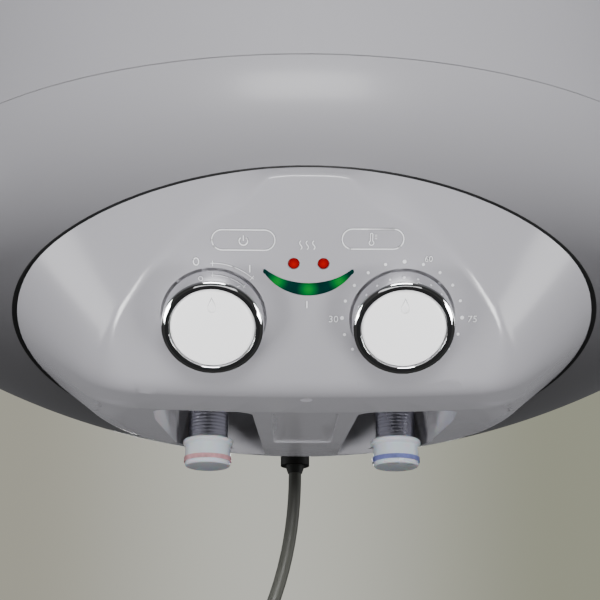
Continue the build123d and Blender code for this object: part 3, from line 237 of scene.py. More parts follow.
@dataclass(frozen=True)
class Finish:
    """A surface finish made of two close tones, a fine relief and an uneven gloss."""

    name: str
    tone: Colour
    shift: float = 0.05
    patch: float = 12.0
    roughness: float = 0.4
    unevenness: float = 0.05
    metallic: float = 0.0
    coat: float = 0.0
    coat_roughness: float = 0.1
    grain: float = 900.0
    grain_depth: float = 0.00001
    stretch: Triple = (1.0, 1.0, 1.0)
    transmission: float = 0.0
    subsurface: float = 0.0
    subsurface_reach: float = 0.003
    specular: float = 0.5

    def make(self) -> bpy.types.Material:
        """Builds the material.

        Returns:
            The finished material.
        """
        sheet = NodeSheet(self.name)
        dark = tuple(max(c * (1 - self.shift), 0) for c in self.tone)
        light = tuple(min(c * (1 + self.shift), 255) for c in self.tone)
        patches = sheet.noise(self.patch, 3.0, self.stretch)
        sheet.tones(patches, dark, light)
        fine = sheet.noise(self.grain, stretch=self.stretch)
        gloss = sheet.spread(
            patches, self.roughness - self.unevenness, self.roughness + self.unevenness
        )
        sheet.join(gloss, sheet.shader.inputs["Roughness"])
        sheet.relief(fine, self.grain_depth)
        inputs = sheet.shader.inputs
        inputs["Metallic"].default_value = self.metallic
        inputs["Coat Weight"].default_value = self.coat
        inputs["Coat Roughness"].default_value = self.coat_roughness
        inputs["Transmission Weight"].default_value = self.transmission
        inputs["Specular IOR Level"].default_value = self.specular
        if self.subsurface > 0:
            inputs["Subsurface Weight"].default_value = self.subsurface
            inputs["Subsurface Scale"].default_value = self.subsurface_reach
        self.add_detail(sheet)
        return sheet.material

    def add_detail(self, sheet: NodeSheet) -> None:
        """Adds what only this finish has; a plain finish has nothing more.

        Args:
            sheet: The material in the making.
        """


@dataclass(frozen=True)
class EnamelledSheet(Finish):
    """Stoved grey paint on steel, with its faint ripple."""

    ripple: float = 60.0
    ripple_depth: float = 0.00004
    ripple_share: float = 0.5

    def add_detail(self, sheet: NodeSheet) -> None:
        """Adds the slow ripple of sprayed paint."""
        sheet.relief(sheet.noise(self.ripple, 1.0), self.ripple_depth, self.ripple_share)


@dataclass(frozen=True)
class FlakedPlastic(Finish):
    """Silver-pigmented plastic whose flakes lie close under a smooth skin."""

    flakes: float = 2600.0
    flake_depth: float = 0.000012
    flake_share: float = 0.35

    def add_detail(self, sheet: NodeSheet) -> None:
        """Adds the sparkle of the pigment as small tilts of the normal."""
        cells = sheet.nodes.new("ShaderNodeTexVoronoi")
        cells.inputs["Scale"].default_value = self.flakes
        sheet.join(sheet.stretched((1, 1, 1)), cells.inputs["Vector"])
        sheet.relief(cells.outputs["Distance"], self.flake_depth, self.flake_share)


@dataclass(frozen=True)
class ThreadedSteel(Finish):
    """A turned pipe end whose thread shows as rings."""

    pitch: float = 0.00181
    thread_depth: float = 0.00016

    def add_detail(self, sheet: NodeSheet) -> None:
        """Adds the thread."""
        rings = sheet.nodes.new("ShaderNodeTexWave")
        rings.bands_direction = "Z"
        rings.inputs["Scale"].default_value = 2 * math.pi / (20 * self.pitch)
        sheet.join(sheet.stretched((1, 1, 1)), rings.inputs["Vector"])
        sheet.relief(rings.outputs["Fac"], self.thread_depth)


@dataclass(frozen=True)
class LitLens(Finish):
    """A moulded lens lit from behind by one or more lamps."""

    glow: Colour = (255, 20, 10)
    strength: float = 1.0
    lamps: tuple[Triple, ...] = ()
    reach: float = 0.004

    def add_detail(self, sheet: NodeSheet) -> None:
        """Lights the lens most where it stands before a lamp."""
        total = None
        for spot in self.lamps:
            far = sheet.nodes.new("ShaderNodeVectorMath")
            far.operation = "DISTANCE"
            far.inputs[1].default_value = spot
            sheet.join(sheet.coordinates.outputs["Object"], far.inputs[0])
            fade = sheet.nodes.new("ShaderNodeMapRange")
            fade.interpolation_type = "SMOOTHSTEP"
            fade.inputs["From Min"].default_value = 0.0
            fade.inputs["From Max"].default_value = self.reach
            fade.inputs["To Min"].default_value = 1.0
            fade.inputs["To Max"].default_value = 0.0
            sheet.join(far.outputs["Value"], fade.inputs["Value"])
            if total is None:
                total = fade.outputs["Result"]
            else:
                both = sheet.nodes.new("ShaderNodeMath")
                both.operation = "MAXIMUM"
                sheet.join(total, both.inputs[0])
                sheet.join(fade.outputs["Result"], both.inputs[1])
                total = both.outputs["Value"]
        if total is None:
            return
        colour = sheet.nodes.new("ShaderNodeValToRGB")
        colour.color_ramp.elements[0].color = (0.0, 0.0, 0.0, 1.0)
        colour.color_ramp.elements[1].color = linear(self.glow)
        sheet.join(total, colour.inputs["Fac"])
        sheet.join(colour.outputs["Color"], sheet.shader.inputs["Emission Color"])
        sheet.shader.inputs["Emission Strength"].default_value = self.strength


@dataclass(frozen=True)
class CutFoam(Finish):
    """Yellowish blown foam with open pores."""

    pores: float = 500.0
    pore_depth: float = 0.0004
    pore_share: float = 0.8

    def add_detail(self, sheet: NodeSheet) -> None:
        """Adds the pores."""
        pores = sheet.nodes.new("ShaderNodeTexVoronoi")
        pores.inputs["Scale"].default_value = self.pores
        sheet.join(sheet.stretched((1, 1, 1)), pores.inputs["Vector"])
        sheet.relief(pores.outputs["Distance"], self.pore_depth, self.pore_share)


FACE_ORIGIN = (0.0, -174.0, 6.3)
RED_LAMPS = ((-5.95, 23.6), (5.95, 23.6))
GREEN_LAMPS = ((-12.6, 16.0), (0.0, 12.6), (12.6, 16.0))
LAMP_DEPTH = -0.9


@dataclass(frozen=True)
class Fascia:
    """The slanted fascia: x runs right, t up the slope and w out of it, in millimetres."""

    origin: Triple = FACE_ORIGIN

    def point(self, x: float, t: float, w: float) -> Vector:
        """A point over the fascia.

        Args:
            x: Distance to the right of the middle.
            t: Distance up the slope from the knobs' line.
            w: Height over the slanted plane through the knobs' line.

        Returns:
            The point in the frame.
        """
        x0, y0, z0 = self.origin
        return place(x0 + x, y0 - SLANT * t - SLANT * w, z0 + SLANT * t - SLANT * w)

    def out(self) -> Vector:
        """The direction out of the fascia."""
        return Vector((0.0, -SLANT, -SLANT))

    def turn(self) -> Matrix:
        """The rotation that lays a flat drawing on the fascia."""
        up = Vector((0.0, -SLANT, SLANT))
        columns = (Vector((1.0, 0.0, 0.0)), up, self.out())
        return Matrix([[c[i] for c in columns] for i in range(3)])


FASCIA = Fascia()


class Finishes:
    """Every finish on the heater, made once."""

    def __init__(self) -> None:
        """Makes the materials."""
        self.recipes: dict[str, Finish] = {
            "shell": EnamelledSheet(
                "enamelled_body", (168, 167, 172), 0.012, 5.0, 0.36, 0.03, coat=0.12,
                coat_roughness=0.16, grain=700.0, grain_depth=0.000004, specular=0.3,
            ),
            "cover": FlakedPlastic(
                "silver_cover", (155, 154, 159), 0.014, 9.0, 0.22, 0.03, metallic=0.05, coat=0.35,
                coat_roughness=0.14, grain=1200.0, grain_depth=0.000003, specular=0.35,
            ),
            # Painted highlight: the raised marks are the cover's silver made lighter, as if lit on
            # their raised faces.
            "marks": FlakedPlastic(
                "raised_marks", (222, 222, 225), 0.02, 40.0, 0.3, 0.04, metallic=0.0, coat=0.3,
                grain=1500.0, grain_depth=0.000003,
            ),
            # Painted shadow: the dark foot laid round each raised mark.
            "mark_foot": Finish("mark_foot", (92, 92, 98), 0.03, 60.0, 0.45, 0.05),
            # Painted shade: the grey foot round the edge of each knob's drop.
            "foot": Finish("pointer_foot", (164, 164, 170), 0.02, 60.0, 0.4, 0.05),
            "gasket": Finish("black_gasket", (24, 24, 25), 0.2, 60.0, 0.6, 0.08, grain=2500.0),
            "chrome": Finish(
                "bright_chrome", (226, 226, 228), 0.01, 40.0, 0.045, 0.012, metallic=1.0,
                grain=300.0, grain_depth=0.000001,
            ),
            "disc": FlakedPlastic(
                "pale_disc", (253, 253, 254), 0.005, 40.0, 0.32, 0.03, coat=0.1, grain=1500.0,
                grain_depth=0.000003, specular=0.3,
            ),
            "black": Finish(
                "black_moulding", (28, 28, 29), 0.12, 90.0, 0.5, 0.08, grain=2600.0,
                grain_depth=0.00003,
            ),
            "zinc": Finish(
                "zinc_plate", (176, 177, 172), 0.08, 55.0, 0.34, 0.08, metallic=1.0, grain=900.0,
                grain_depth=0.00001, stretch=(1.0, 1.0, 4.0),
            ),
            "steel": Finish(
                "turned_steel", (192, 192, 194), 0.05, 40.0, 0.26, 0.06, metallic=1.0, grain=2200.0,
                grain_depth=0.00001, stretch=(0.2, 0.2, 3.0),
            ),
            "thread": ThreadedSteel(
                "threaded_steel", (196, 196, 208), 0.06, 40.0, 0.3, 0.05, metallic=1.0,
                grain=1500.0, grain_depth=0.000006,
            ),
            "enamel": Finish("tank_enamel", (38, 58, 88), 0.12, 25.0, 0.22, 0.06, coat=0.5),
            "foam": CutFoam("blown_foam", (224, 205, 150), 0.08, 30.0, 0.85, 0.05),
            "copper": Finish(
                "drawn_copper", (196, 118, 84), 0.1, 60.0, 0.28, 0.06, metallic=1.0,
                stretch=(3.0, 3.0, 0.4),
            ),
            "magnesium": Finish(
                "cast_magnesium", (150, 150, 146), 0.1, 90.0, 0.55, 0.08, metallic=1.0,
                grain_depth=0.00006,
            ),
            "white": Finish("white_moulding", (224, 223, 217), 0.02, 60.0, 0.35, 0.05),
            "board": Finish("circuit_board", (30, 92, 52), 0.1, 400.0, 0.3, 0.05, coat=0.4),
            "lamp": Finish("clear_lamp", (225, 232, 225), 0.02, 200.0, 0.1, 0.03, transmission=0.6),
            "cap": Finish(
                "milky_cap", (232, 235, 243), 0.012, 60.0, 0.3, 0.05, transmission=0.15,
                subsurface=0.35, grain=1800.0, grain_depth=0.00001,
            ),
            "red_band": Finish(
                "red_band", (234, 176, 182), 0.1, 300.0, 0.4, 0.05, transmission=0.35
            ),
            "blue_band": Finish(
                "blue_band", (128, 136, 204), 0.1, 300.0, 0.4, 0.05, transmission=0.35
            ),
            "cord": Finish(
                "grey_sheath", (96, 97, 90), 0.05, 70.0, 0.46, 0.07, grain=1600.0,
                grain_depth=0.00002,
            ),
            "wire": Finish("brown_insulation", (92, 56, 34), 0.12, 90.0, 0.4, 0.06),
            "rubber": Finish(
                "black_relief", (44, 45, 42), 0.1, 90.0, 0.55, 0.08, grain=2200.0,
                grain_depth=0.00002,
            ),
            "brass": Finish("turned_brass", (202, 172, 104), 0.06, 70.0, 0.24, 0.06, metallic=1.0),
            "red_lens": LitLens(
                "red_lens", (104, 0, 2), 0.08, 300.0, 0.18, 0.03, grain_depth=0.000002,
                glow=(255, 0, 14), strength=0.3, reach=0.0027, specular=0.1,
                lamps=tuple(tuple(FASCIA.point(*spot, LAMP_DEPTH)) for spot in RED_LAMPS),
            ),
            "green_lens": LitLens(
                "green_lens", (0, 38, 34), 0.1, 200.0, 0.18, 0.04, grain_depth=0.000002,
                glow=(0, 214, 44), strength=0.42, reach=0.0052, specular=0.04,
                lamps=tuple(tuple(FASCIA.point(*spot, LAMP_DEPTH)) for spot in GREEN_LAMPS),
            ),
        }
        self.made: dict[str, bpy.types.Material] = {
            key: recipe.make() for key, recipe in self.recipes.items()
        }

    def dress(self, piece: bpy.types.Object, key: str) -> None:
        """Gives a piece one finish over its whole surface.

        Args:
            piece: Mesh or curve to dress.
            key: Name of the finish in `recipes`.
        """
        piece.data.materials.clear()
        piece.data.materials.append(self.made[key])


# Mesh making


def mesh_piece(
    name: str,
    points: list[Vector],
    faces: list[tuple[int, ...]],
    body: str,
    sharp: float = 40.0,
) -> bpy.types.Object:
    """Makes a smooth-shaded mesh piece that rides on a body.

    Args:
        name: Name of the piece.
        points: Its corners in the frame.
        faces: Corner numbers of each face.
        body: Body that it rides on.
        sharp: Angle in degrees over which an edge stays sharp.

    Returns:
        The new object.
    """
    data = bpy.data.meshes.new(name)
    data.from_pydata([tuple(p) for p in points], [], faces)
    tidy = bmesh.new()
    tidy.from_mesh(data)
    bmesh.ops.remove_doubles(tidy, verts=tidy.verts, dist=WELD)
    bmesh.ops.recalc_face_normals(tidy, faces=tidy.faces)
    tidy.to_mesh(data)
    tidy.free()
    data.polygons.foreach_set("use_smooth", [True] * len(data.polygons))
    data.set_sharp_from_angle(angle=math.radians(sharp))
    piece = bpy.data.objects.new(name, data)
    bpy.context.scene.collection.objects.link(piece)
    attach(piece, body)
    return piece


@dataclass
class Turning:
    """Turns a profile round an axis."""

    origin: Vector
    axis: Vector
    steps: int = 128

    def frame(self) -> tuple[Vector, Vector]:
        """Two directions square to the axis."""
        side = Vector((1.0, 0.0, 0.0))
        if abs(self.axis.dot(side)) > NEAR_AXIS:
            side = Vector((0.0, 1.0, 0.0))
        second = self.axis.cross(side).normalized()
        return second.cross(self.axis).normalized(), second

    def mesh(
        self, name: str, profile: list[Pair], body: str, sharp: float = 35.0,
        closed: bool = True,
    ) -> bpy.types.Object:
        """Makes the turned piece.

        Args:
            name: Name of the piece.
            profile: Radius and height of each point, in millimetres.
            body: Body that it rides on.
            sharp: Angle in degrees over which an edge stays sharp.
            closed: Whether the profile returns to its first point.

        Returns:
            The new object.
        """
        first, second = self.frame()
        points: list[Vector] = []
        for radius, height in profile:
            for i in range(self.steps):
                turn = 2 * math.pi * i / self.steps
                out = first * math.cos(turn) + second * math.sin(turn)
                points.append(self.origin + (out * radius + self.axis * height) * MM)
        faces: list[tuple[int, ...]] = []
        last = len(profile) if closed else len(profile) - 1
        for row in range(last):
            low = row * self.steps
            high = ((row + 1) % len(profile)) * self.steps
            for i in range(self.steps):
                j = (i + 1) % self.steps
                faces.append((low + i, low + j, high + j, high + i))
        return mesh_piece(name, points, faces, body, sharp)


def rounded(corners: list[Pair], radii: list[float], steps: int = 5) -> list[Pair]:
    """Rounds the corners of a closed outline.

    Args:
        corners: The outline's corners.
        radii: Rounding at each corner; 0 leaves it sharp.
        steps: Points on each rounding.

    Returns:
        The rounded outline.
    """
    result: list[Pair] = []
    count = len(corners)
    for i, radius in enumerate(radii):
        here = Vector(corners[i])
        before = Vector(corners[i - 1])
        after = Vector(corners[(i + 1) % count])
        if radius <= 0:
            result.append(tuple(here))
            continue
        a = (before - here).normalized()
        b = (after - here).normalized()
        shorter = min((before - here).length, (after - here).length)
        reach = min(radius / math.tan(a.angle(b) / 2), shorter * MOST_OF_EDGE)
        start = here + a * reach
        end = here + b * reach
        for k in range(steps + 1):
            s = k / steps
            point = start * (1 - s) ** 2 + here * 2 * s * (1 - s) + end * s**2
            result.append(tuple(point))
    return result


# Body


@dataclass
class HeaterBody:
    """The painted outer body: shell and two dished ends."""

    radius: float = 225.0
    height: float = 570.0
    crown: float = 430.0
    knuckle: float = 60.0
    top_crown: float = 700.0
    top_knuckle: float = 34.0
    skin: float = 1.2
    lap: float = 12.0
    joint: float = 0.3
    joint_edge: float = 0.25
    axis_hole: float = 0.01
    dish_steps: int = 40
    knuckle_steps: int = 24
    cover_middle: float = -79.0
    opening_x: float = 126.6
    opening_y: float = 118.8
    opening_top: float = 80.0

    def end_profile(self, crown: float, knuckle: float) -> list[Pair]:
        """Radius and height of a dished end, from its middle outwards.

        Args:
            crown: Radius of the dish.
            knuckle: Radius of the rounded rim.

        Returns:
            The points of the profile.
        """
        spread = math.asin((self.radius - knuckle) / (crown - knuckle))
        depth = crown - math.sqrt((crown - knuckle) ** 2 - (self.radius - knuckle) ** 2)
        turns = [spread * i / self.dish_steps for i in range(self.dish_steps + 1)]
        points = [(crown * math.sin(turn), crown - crown * math.cos(turn)) for turn in turns]
        for i in range(1, self.knuckle_steps + 1):
            turn = spread + (math.pi / 2 - spread) * i / self.knuckle_steps
            points.append(
                (
                    self.radius - knuckle + knuckle * math.sin(turn),
                    depth - knuckle * math.cos(turn),
                )
            )
        return points

    def build(self, finishes: Finishes) -> None:
        """Builds the body and hides the plain solids that it stands for.

        Args:
            finishes: The finishes to dress it with.
        """
        lathe = Turning(place(0, 0, 0), Vector((0, 0, 1)), steps=192)
        low = self.end_profile(self.crown, self.knuckle)
        high = [
            (r, self.height - h) for r, h in self.end_profile(self.top_crown, self.top_knuckle)
        ]
        foot = low[-1][1]
        head = high[-1][1]
        inside = self.radius - self.skin
        edge = self.radius - self.joint_edge
        ends = []
        for name, line, rim, lap in (
            ("body_base", low, foot, self.lap), ("body_lid", high, head, -self.lap)
        ):
            profile = [(max(r, self.axis_hole), h) for r, h in line]
            profile += [(inside, rim), (inside, rim + lap)]
            ends.append(lathe.mesh(name, profile, "heater", closed=False))
        base, lid = ends
        self.open_base(base)
        shell = lathe.mesh(
            "body_wrap",
            [
                (inside, foot + self.joint),
                (edge, foot + self.joint),
                (self.radius, foot + self.joint + self.joint_edge),
                (self.radius, (foot + head) / 2),
                (self.radius, head - self.joint - self.joint_edge),
                (edge, head - self.joint),
                (inside, head - self.joint),
            ],
            "heater",
        )
        for piece, node in ((base, "bottom_cap"), (lid, "top_cap"), (shell, "outer_shell")):
            finishes.dress(piece, "shell")
            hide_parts(node)
            LOG.info("built %s", piece.name)

    def open_base(self, base: bpy.types.Object) -> None:
        """Cuts the oval opening under the control cover.

        Args:
            base: The dished lower end.
        """
        cut = bmesh.new()
        cut.from_mesh(base.data)
        inside = []
        for face in cut.faces:
            middle = (face.calc_center_median() - BODY_FOOT) / MM
            across = middle.x / self.opening_x
            along = (middle.y - self.cover_middle) / self.opening_y
            if across**2 + along**2 < 1 and middle.z < self.opening_top:
                inside.append(face)
        bmesh.ops.delete(cut, geom=inside, context="FACES")
        cut.to_mesh(base.data)
        cut.free()


# Control cover


def flowing(table: Table, at: float) -> float:
    """Reads a smooth curve through a table.

    Args:
        table: Places in rising order and the value at each.
        at: The place to read.

    Returns:
        The value there.
    """
    last = len(table) - 1
    row = 0
    while row < last - 1 and at > table[row + 1][0]:
        row += 1

    def lean(k: int) -> float:
        before, after = table[max(k - 1, 0)], table[min(k + 1, last)]
        return (after[1] - before[1]) / (after[0] - before[0])

    (a, low), (b, high) = table[row], table[row + 1]
    span = b - a
    s = min(max((at - a) / span, 0.0), 1.0)
    return (
        low * (1 + 2 * s) * (1 - s) ** 2
        + lean(row) * span * s * (1 - s) ** 2
        + high * s * s * (3 - 2 * s)
        - lean(row + 1) * span * s * s * (1 - s)
    )


def eased(at: float, start: float, end: float) -> float:
    """A share that rises softly from 0 at `start` to 1 at `end`."""
    s = min(max((at - start) / (end - start), 0.0), 1.0)
    return s * s * (3 - 2 * s)


@dataclass
class ControlCover:
    """The silver cover: its solid, with the flared sides and their soft crease made anew.

    Around the fascia, places are given by an angle from the top in degrees and a reach from the
    middle in millimetres, both measured along the slanted plane.
    """

    middle_t: float = -15.0
    face_radius: float = 280.0
    chin_radius: float = 20.0
    chin_z: float = -18.0
    lip_y: float = -116.0
    under_rise: float = 0.1067
    crown: float = 3200.0
    seam_x: float = 139.3
    seam_y: float = 130.05
    seam_middle: float = -79.0
    # Width of the black band between cover and body: a seal, widened at the sides as painted shadow
    # of the gap there.
    seal_and_gap_shadow_width: Table = (
        (0.0, 0.45), (30.0, 0.6), (55.0, 1.0), (75.0, 2.0), (90.0, 2.4), (110.0, 2.6),
        (125.0, 3.0), (145.0, 3.0), (180.0, 2.0),
    )
    dish: float = 430.0
    knuckle: float = 60.0
    body_radius: float = 225.0
    last_angle: int = 140
    sector: int = 5
    plain_reach: float = 66.0
    plain_angle: float = 30.0
    overlap: float = 0.3
    first_lift: float = 0.004
    bury: float = 0.8
    clear: float = 0.8
    facing: float = 0.03
    clear_of_face: float = 0.0003
    ray: float = 0.3
    least_side: float = 1.1
    least_reach: float = 40.0
    halvings: int = 40
    soft_rows: int = 22
    side_rows: int = 9
    past_crease: float = 0.6
    short_of_edge: float = 0.3
    off_face: float = 0.2
    probe: float = 0.05
    least_match: float = 0.97
    sharp: float = 26.0
    crease: Table = (
        (0.0, 75.1), (8.0, 75.6), (13.0, 75.6), (18.0, 73.6), (23.0, 72.0), (32.0, 71.5),
        (40.0, 71.8), (47.0, 71.4), (54.0, 72.0), (60.0, 73.4), (69.0, 75.6), (75.0, 78.0),
        (82.0, 80.8), (90.0, 83.4), (96.0, 85.6), (102.0, 88.2), (108.5, 92.3), (114.0, 97.6),
        (120.0, 106.0), (126.0, 116.0), (132.0, 124.0), (140.0, 131.0),
    )
    moulded: Table = (
        (110.0, -66.3), (115.0, -68.6), (120.0, -72.0), (125.0, -76.8), (130.0, -82.9),
        (140.0, -95.6),
    )
    moulded_from: float = 118.0
    moulded_to: float = 139.0
    moulded_reach: float = 130.0
    moulded_slope: float = -1.867
    softness: Table = (
        (0.0, 0.8), (12.0, 1.0), (17.0, 3.5), (24.0, 6.5), (34.0, 5.5), (42.0, 4.0), (50.0, 3.0),
        (66.0, 2.6), (80.0, 2.6), (87.0, 4.0), (95.0, 8.5), (104.0, 14.0), (114.0, 16.0),
        (122.0, 14.0), (129.0, 9.0), (135.0, 5.0), (140.0, 3.3),
    )
    edge_line: list[Triple] = field(default_factory=list)

    def face_place(self, point: Vector) -> Triple:
        """A point's x, t and w on the fascia, in millimetres."""
        local = (point - BODY_FOOT) / MM
        back = local.y - FACE_ORIGIN[1]
        rise = local.z - FACE_ORIGIN[2]
        return local.x, SLANT * (rise - back), -SLANT * (rise + back)

    def polar(self, x: float, t: float) -> Pair:
        """Signed angle from the top in degrees, and reach from the middle."""
        up = t - self.middle_t
        return math.degrees(math.atan2(x, up)), math.hypot(x, up)

    def face_height(self, x: float, t: float) -> float:
        """Height of the fascia, the chin and the underside over the slanted plane.

        Args:
            x: Distance to the right of the middle.
            t: Distance up the slope.

        Returns:
            The height w.
        """
        mid_y = FACE_ORIGIN[1] + self.face_radius * SLANT
        mid_z = FACE_ORIGIN[2] + self.face_radius * SLANT
        chin_z = self.chin_z + self.chin_radius
        run = (self.face_radius - self.chin_radius) ** 2 - (mid_z - chin_z) ** 2
        chin_y = mid_y - math.sqrt(run)
        chin_t = SLANT * ((chin_z - FACE_ORIGIN[2]) - (chin_y - FACE_ORIGIN[1]))
        chin_w = -SLANT * ((chin_z - FACE_ORIGIN[2]) + (chin_y - FACE_ORIGIN[1]))
        meet = chin_t * self.face_radius / (self.face_radius - self.chin_radius)
        turn = chin_t - self.chin_radius * SLANT
        drop = FACE_ORIGIN[2] - self.chin_z
        back = self.lip_y - FACE_ORIGIN[1]
        lift = SLANT * x * x / self.crown
        t -= lift
        if t > meet:
            height = math.sqrt(self.face_radius**2 - t**2) - self.face_radius
        elif t > turn:
            height = chin_w + math.sqrt(self.chin_radius**2 - (t - chin_t) ** 2)
        elif t > -SLANT * (drop + back):
            height = chin_w + self.chin_radius * SLANT + (t - turn)
        else:
            rise = self.under_rise
            height = (drop + back * rise + SLANT * t * (1 + rise)) / (SLANT * (1 - rise))
        return height - lift

    def dish_height(self, r: float) -> float:
        """Height of the body's dished end at a distance from its axis."""
        if r < self.dish * (self.body_radius - self.knuckle) / (self.dish - self.knuckle):
            return self.dish - math.sqrt(self.dish**2 - r**2)
        middle = self.body_radius - self.knuckle
        depth = self.dish - math.sqrt((self.dish - self.knuckle) ** 2 - middle**2)
        return depth - math.sqrt(max(self.knuckle**2 - (r - middle) ** 2, 0.0))

    def seam(self, step: float, inwards: float) -> Pair:
        """A place on the seam between cover and body, seen from below.

        Args:
            step: Degrees round the seam from its front.
            inwards: Share of the seam's width by which the place lies inside its outer edge.

        Returns:
            Its x and y from the body's axis.
        """
        turn = math.radians(step)
        way = Vector((self.seam_y * math.sin(turn), -self.seam_x * math.cos(turn))).normalized()
        width = flowing(self.seal_and_gap_shadow_width, abs((step + 180) % 360 - 180)) * inwards
        return (
            self.seam_x * math.sin(turn) - way.x * width,
            self.seam_middle - self.seam_y * math.cos(turn) - way.y * width,
        )

    def read_edge(self) -> None:
        """Lists angle, reach and height of the cover's edge where it meets the body."""
        for step in range(181):
            x, y = self.seam(step, 1.0)
            spot = place(x, y, self.dish_height(math.hypot(x, y)))
            _, t, w = self.face_place(spot)
            angle, reach = self.polar(x, t)
            self.edge_line.append((angle, reach, w))

    def edge_at(self, angle: float) -> Pair:
        """Reach and height of the cover's edge at an angle."""
        for low, high in zip(self.edge_line, self.edge_line[1:]):
            if angle <= high[0]:
                share = (angle - low[0]) / (high[0] - low[0])
                return low[1] + (high[1] - low[1]) * share, low[2] + (high[2] - low[2]) * share
        return self.edge_line[-1][1], self.edge_line[-1][2]

    def spot(self, angle: float, reach: float) -> Pair:
        """The x and t of a place given by its angle and reach."""
        turn = math.radians(angle)
        return reach * math.sin(turn), self.middle_t + reach * math.cos(turn)

    def side(self, angle: float) -> tuple[float, float, float, float]:
        """The flared side at an angle.

        Args:
            angle: Angle from the top, 0 to 180.

        Returns:
            Reach of the edge, height there, slope of the side, and reach of the crease.
        """
        reach, height = self.edge_at(angle)
        near = min(flowing(self.crease, angle), reach - self.least_side)
        slope = (height - self.face_height(*self.spot(angle, near))) / (reach - near)
        share = eased(angle, self.moulded_from, self.moulded_to)
        slope += share * (self.moulded_slope - slope)
        if share > 0:
            there = flowing(self.moulded, angle) + slope * (reach - self.moulded_reach)
            height += share * (there - height)
        low, high = self.least_reach, reach
        for _ in range(self.halvings):
            middle = (low + high) / 2
            if self.face_height(*self.spot(angle, middle)) > height + slope * (middle - reach):
                high = middle
            else:
                low = middle
        return reach, height, slope, (low + high) / 2

    def soft_height(
        self, angle: float, reach: float, side: tuple[float, float, float, float]
    ) -> float:
        """Height of the skin, with the crease between fascia and side blended.

        Args:
            angle: Angle from the top, 0 to 180.
            reach: Reach from the middle.
            side: The flared side at that angle.

        Returns:
            The height w.
        """
        edge, height, slope, crease = side
        face = self.face_height(*self.spot(angle, reach))
        flare = height + slope * (reach - edge)
        ahead = self.face_height(*self.spot(angle, crease + 1))
        here = self.face_height(*self.spot(angle, crease))
        span = flowing(self.softness, angle) * abs(slope - (ahead - here))
        blend = max(span - abs(face - flare), 0.0) / span
        return min(face, flare) - blend * blend * span / 4

    def inner(self, angle: float) -> float:
        """Reach at which the solid's own skin is cut, along straight chords."""
        low = self.sector * math.floor(angle / self.sector)
        ends = []
        for a in (low, low + self.sector):
            start = self.side(abs(a))[3] - flowing(self.softness, abs(a)) - self.clear
            if abs(a) < self.plain_angle:
                start = min(start, self.plain_reach)
            ends.append(Vector(self.spot(a, start)))
        way = Vector(self.spot(angle, 1.0)) - Vector(self.spot(angle, 0.0))
        chord = ends[1] - ends[0]
        away = ends[0] - Vector((0.0, self.middle_t))
        return (away.x * chord.y - away.y * chord.x) / (way.x * chord.y - way.y * chord.x)

    def cut_skin(self, data: bpy.types.Mesh) -> None:
        """Cuts the solid's own flared sides away from the inner curve outwards.

        Args:
            data: The solid's mesh.
        """
        work = bmesh.new()
        work.from_mesh(data)
        bmesh.ops.remove_doubles(work, verts=work.verts, dist=WELD)
        mark = work.faces.layers.int.new("skin")
        surface = BVHTree.FromBMesh(work)
        out = FASCIA.out()
        for face in work.faces:
            if face.normal.dot(out) > self.facing:
                start = face.calc_center_median() + out * self.clear_of_face
                if surface.ray_cast(start, out, self.ray)[0] is None:
                    face[mark] = 1
        middle = FASCIA.point(0.0, self.middle_t, 0.0)
        axes = FASCIA.turn()
        for step in range(0, 180, self.sector):
            turn = math.radians(step)
            across = axes @ Vector((math.cos(turn), -math.sin(turn), 0.0))
            self.slice(work, [f for f in work.faces if f[mark] == 1], middle, across)
        for start in range(-self.last_angle, self.last_angle, self.sector):
            end = start + self.sector - JUST_UNDER
            first, second = (self.spot(a, self.inner(a)) for a in (start, end))
            chord = (Vector(second) - Vector(first)).normalized()
            inside = []
            for face in work.faces:
                if face[mark] == 1:
                    x, t, _ = self.face_place(face.calc_center_median())
                    if start < self.polar(x, t)[0] < start + self.sector:
                        inside.append(face)
            across = axes @ Vector((-chord.y, chord.x, 0.0))
            self.slice(work, inside, FASCIA.point(*first, 0.0), across)
        gone = []
        for face in work.faces:
            x, t, _ = self.face_place(face.calc_center_median())
            angle, reach = self.polar(x, t)
            if abs(angle) < self.last_angle and reach > self.inner(angle):
                gone.append(face)
        bmesh.ops.delete(work, geom=gone, context="FACES")
        work.to_mesh(data)
        work.free()

    def slice(
        self, work: bmesh.types.BMesh, faces: list[bmesh.types.BMFace], at: Vector, across: Vector
    ) -> None:
        """Splits faces along a plane.

        Args:
            work: The mesh in work.
            faces: The faces to split.
            at: A point of the plane.
            across: The direction square to it.
        """
        parts: set = set(faces)
        for face in faces:
            parts.update(face.edges)
            parts.update(face.verts)
        bmesh.ops.bisect_plane(
            work, geom=list(parts), dist=WELD, plane_co=at, plane_no=across.normalized()
        )

    def shade(self, data: bpy.types.Mesh) -> None:
        """Shades the cut skin by the true fascia instead of by its facets.

        Args:
            data: The solid's mesh with its skin marked.
        """
        marks = data.attributes["skin"].data
        turn = FASCIA.turn()
        normals = [Vector((0.0, 0.0, 0.0))] * len(data.loops)
        for face in data.polygons:
            if marks[face.index].value != 1:
                continue
            for loop in face.loop_indices:
                x, t, w = self.face_place(data.vertices[data.loops[loop].vertex_index].co)
                if abs(w - self.face_height(x, t)) > self.off_face:
                    continue
                step = self.probe
                along = self.face_height(x + step, t) - self.face_height(x - step, t)
                rise = self.face_height(x, t + step) - self.face_height(x, t - step)
                share = 0.5 / step
                true = (turn @ Vector((-along * share, -rise * share, 1.0))).normalized()
                if true.dot(face.normal) > self.least_match:
                    normals[loop] = true
        data.normals_split_custom_set([tuple(n) for n in normals])

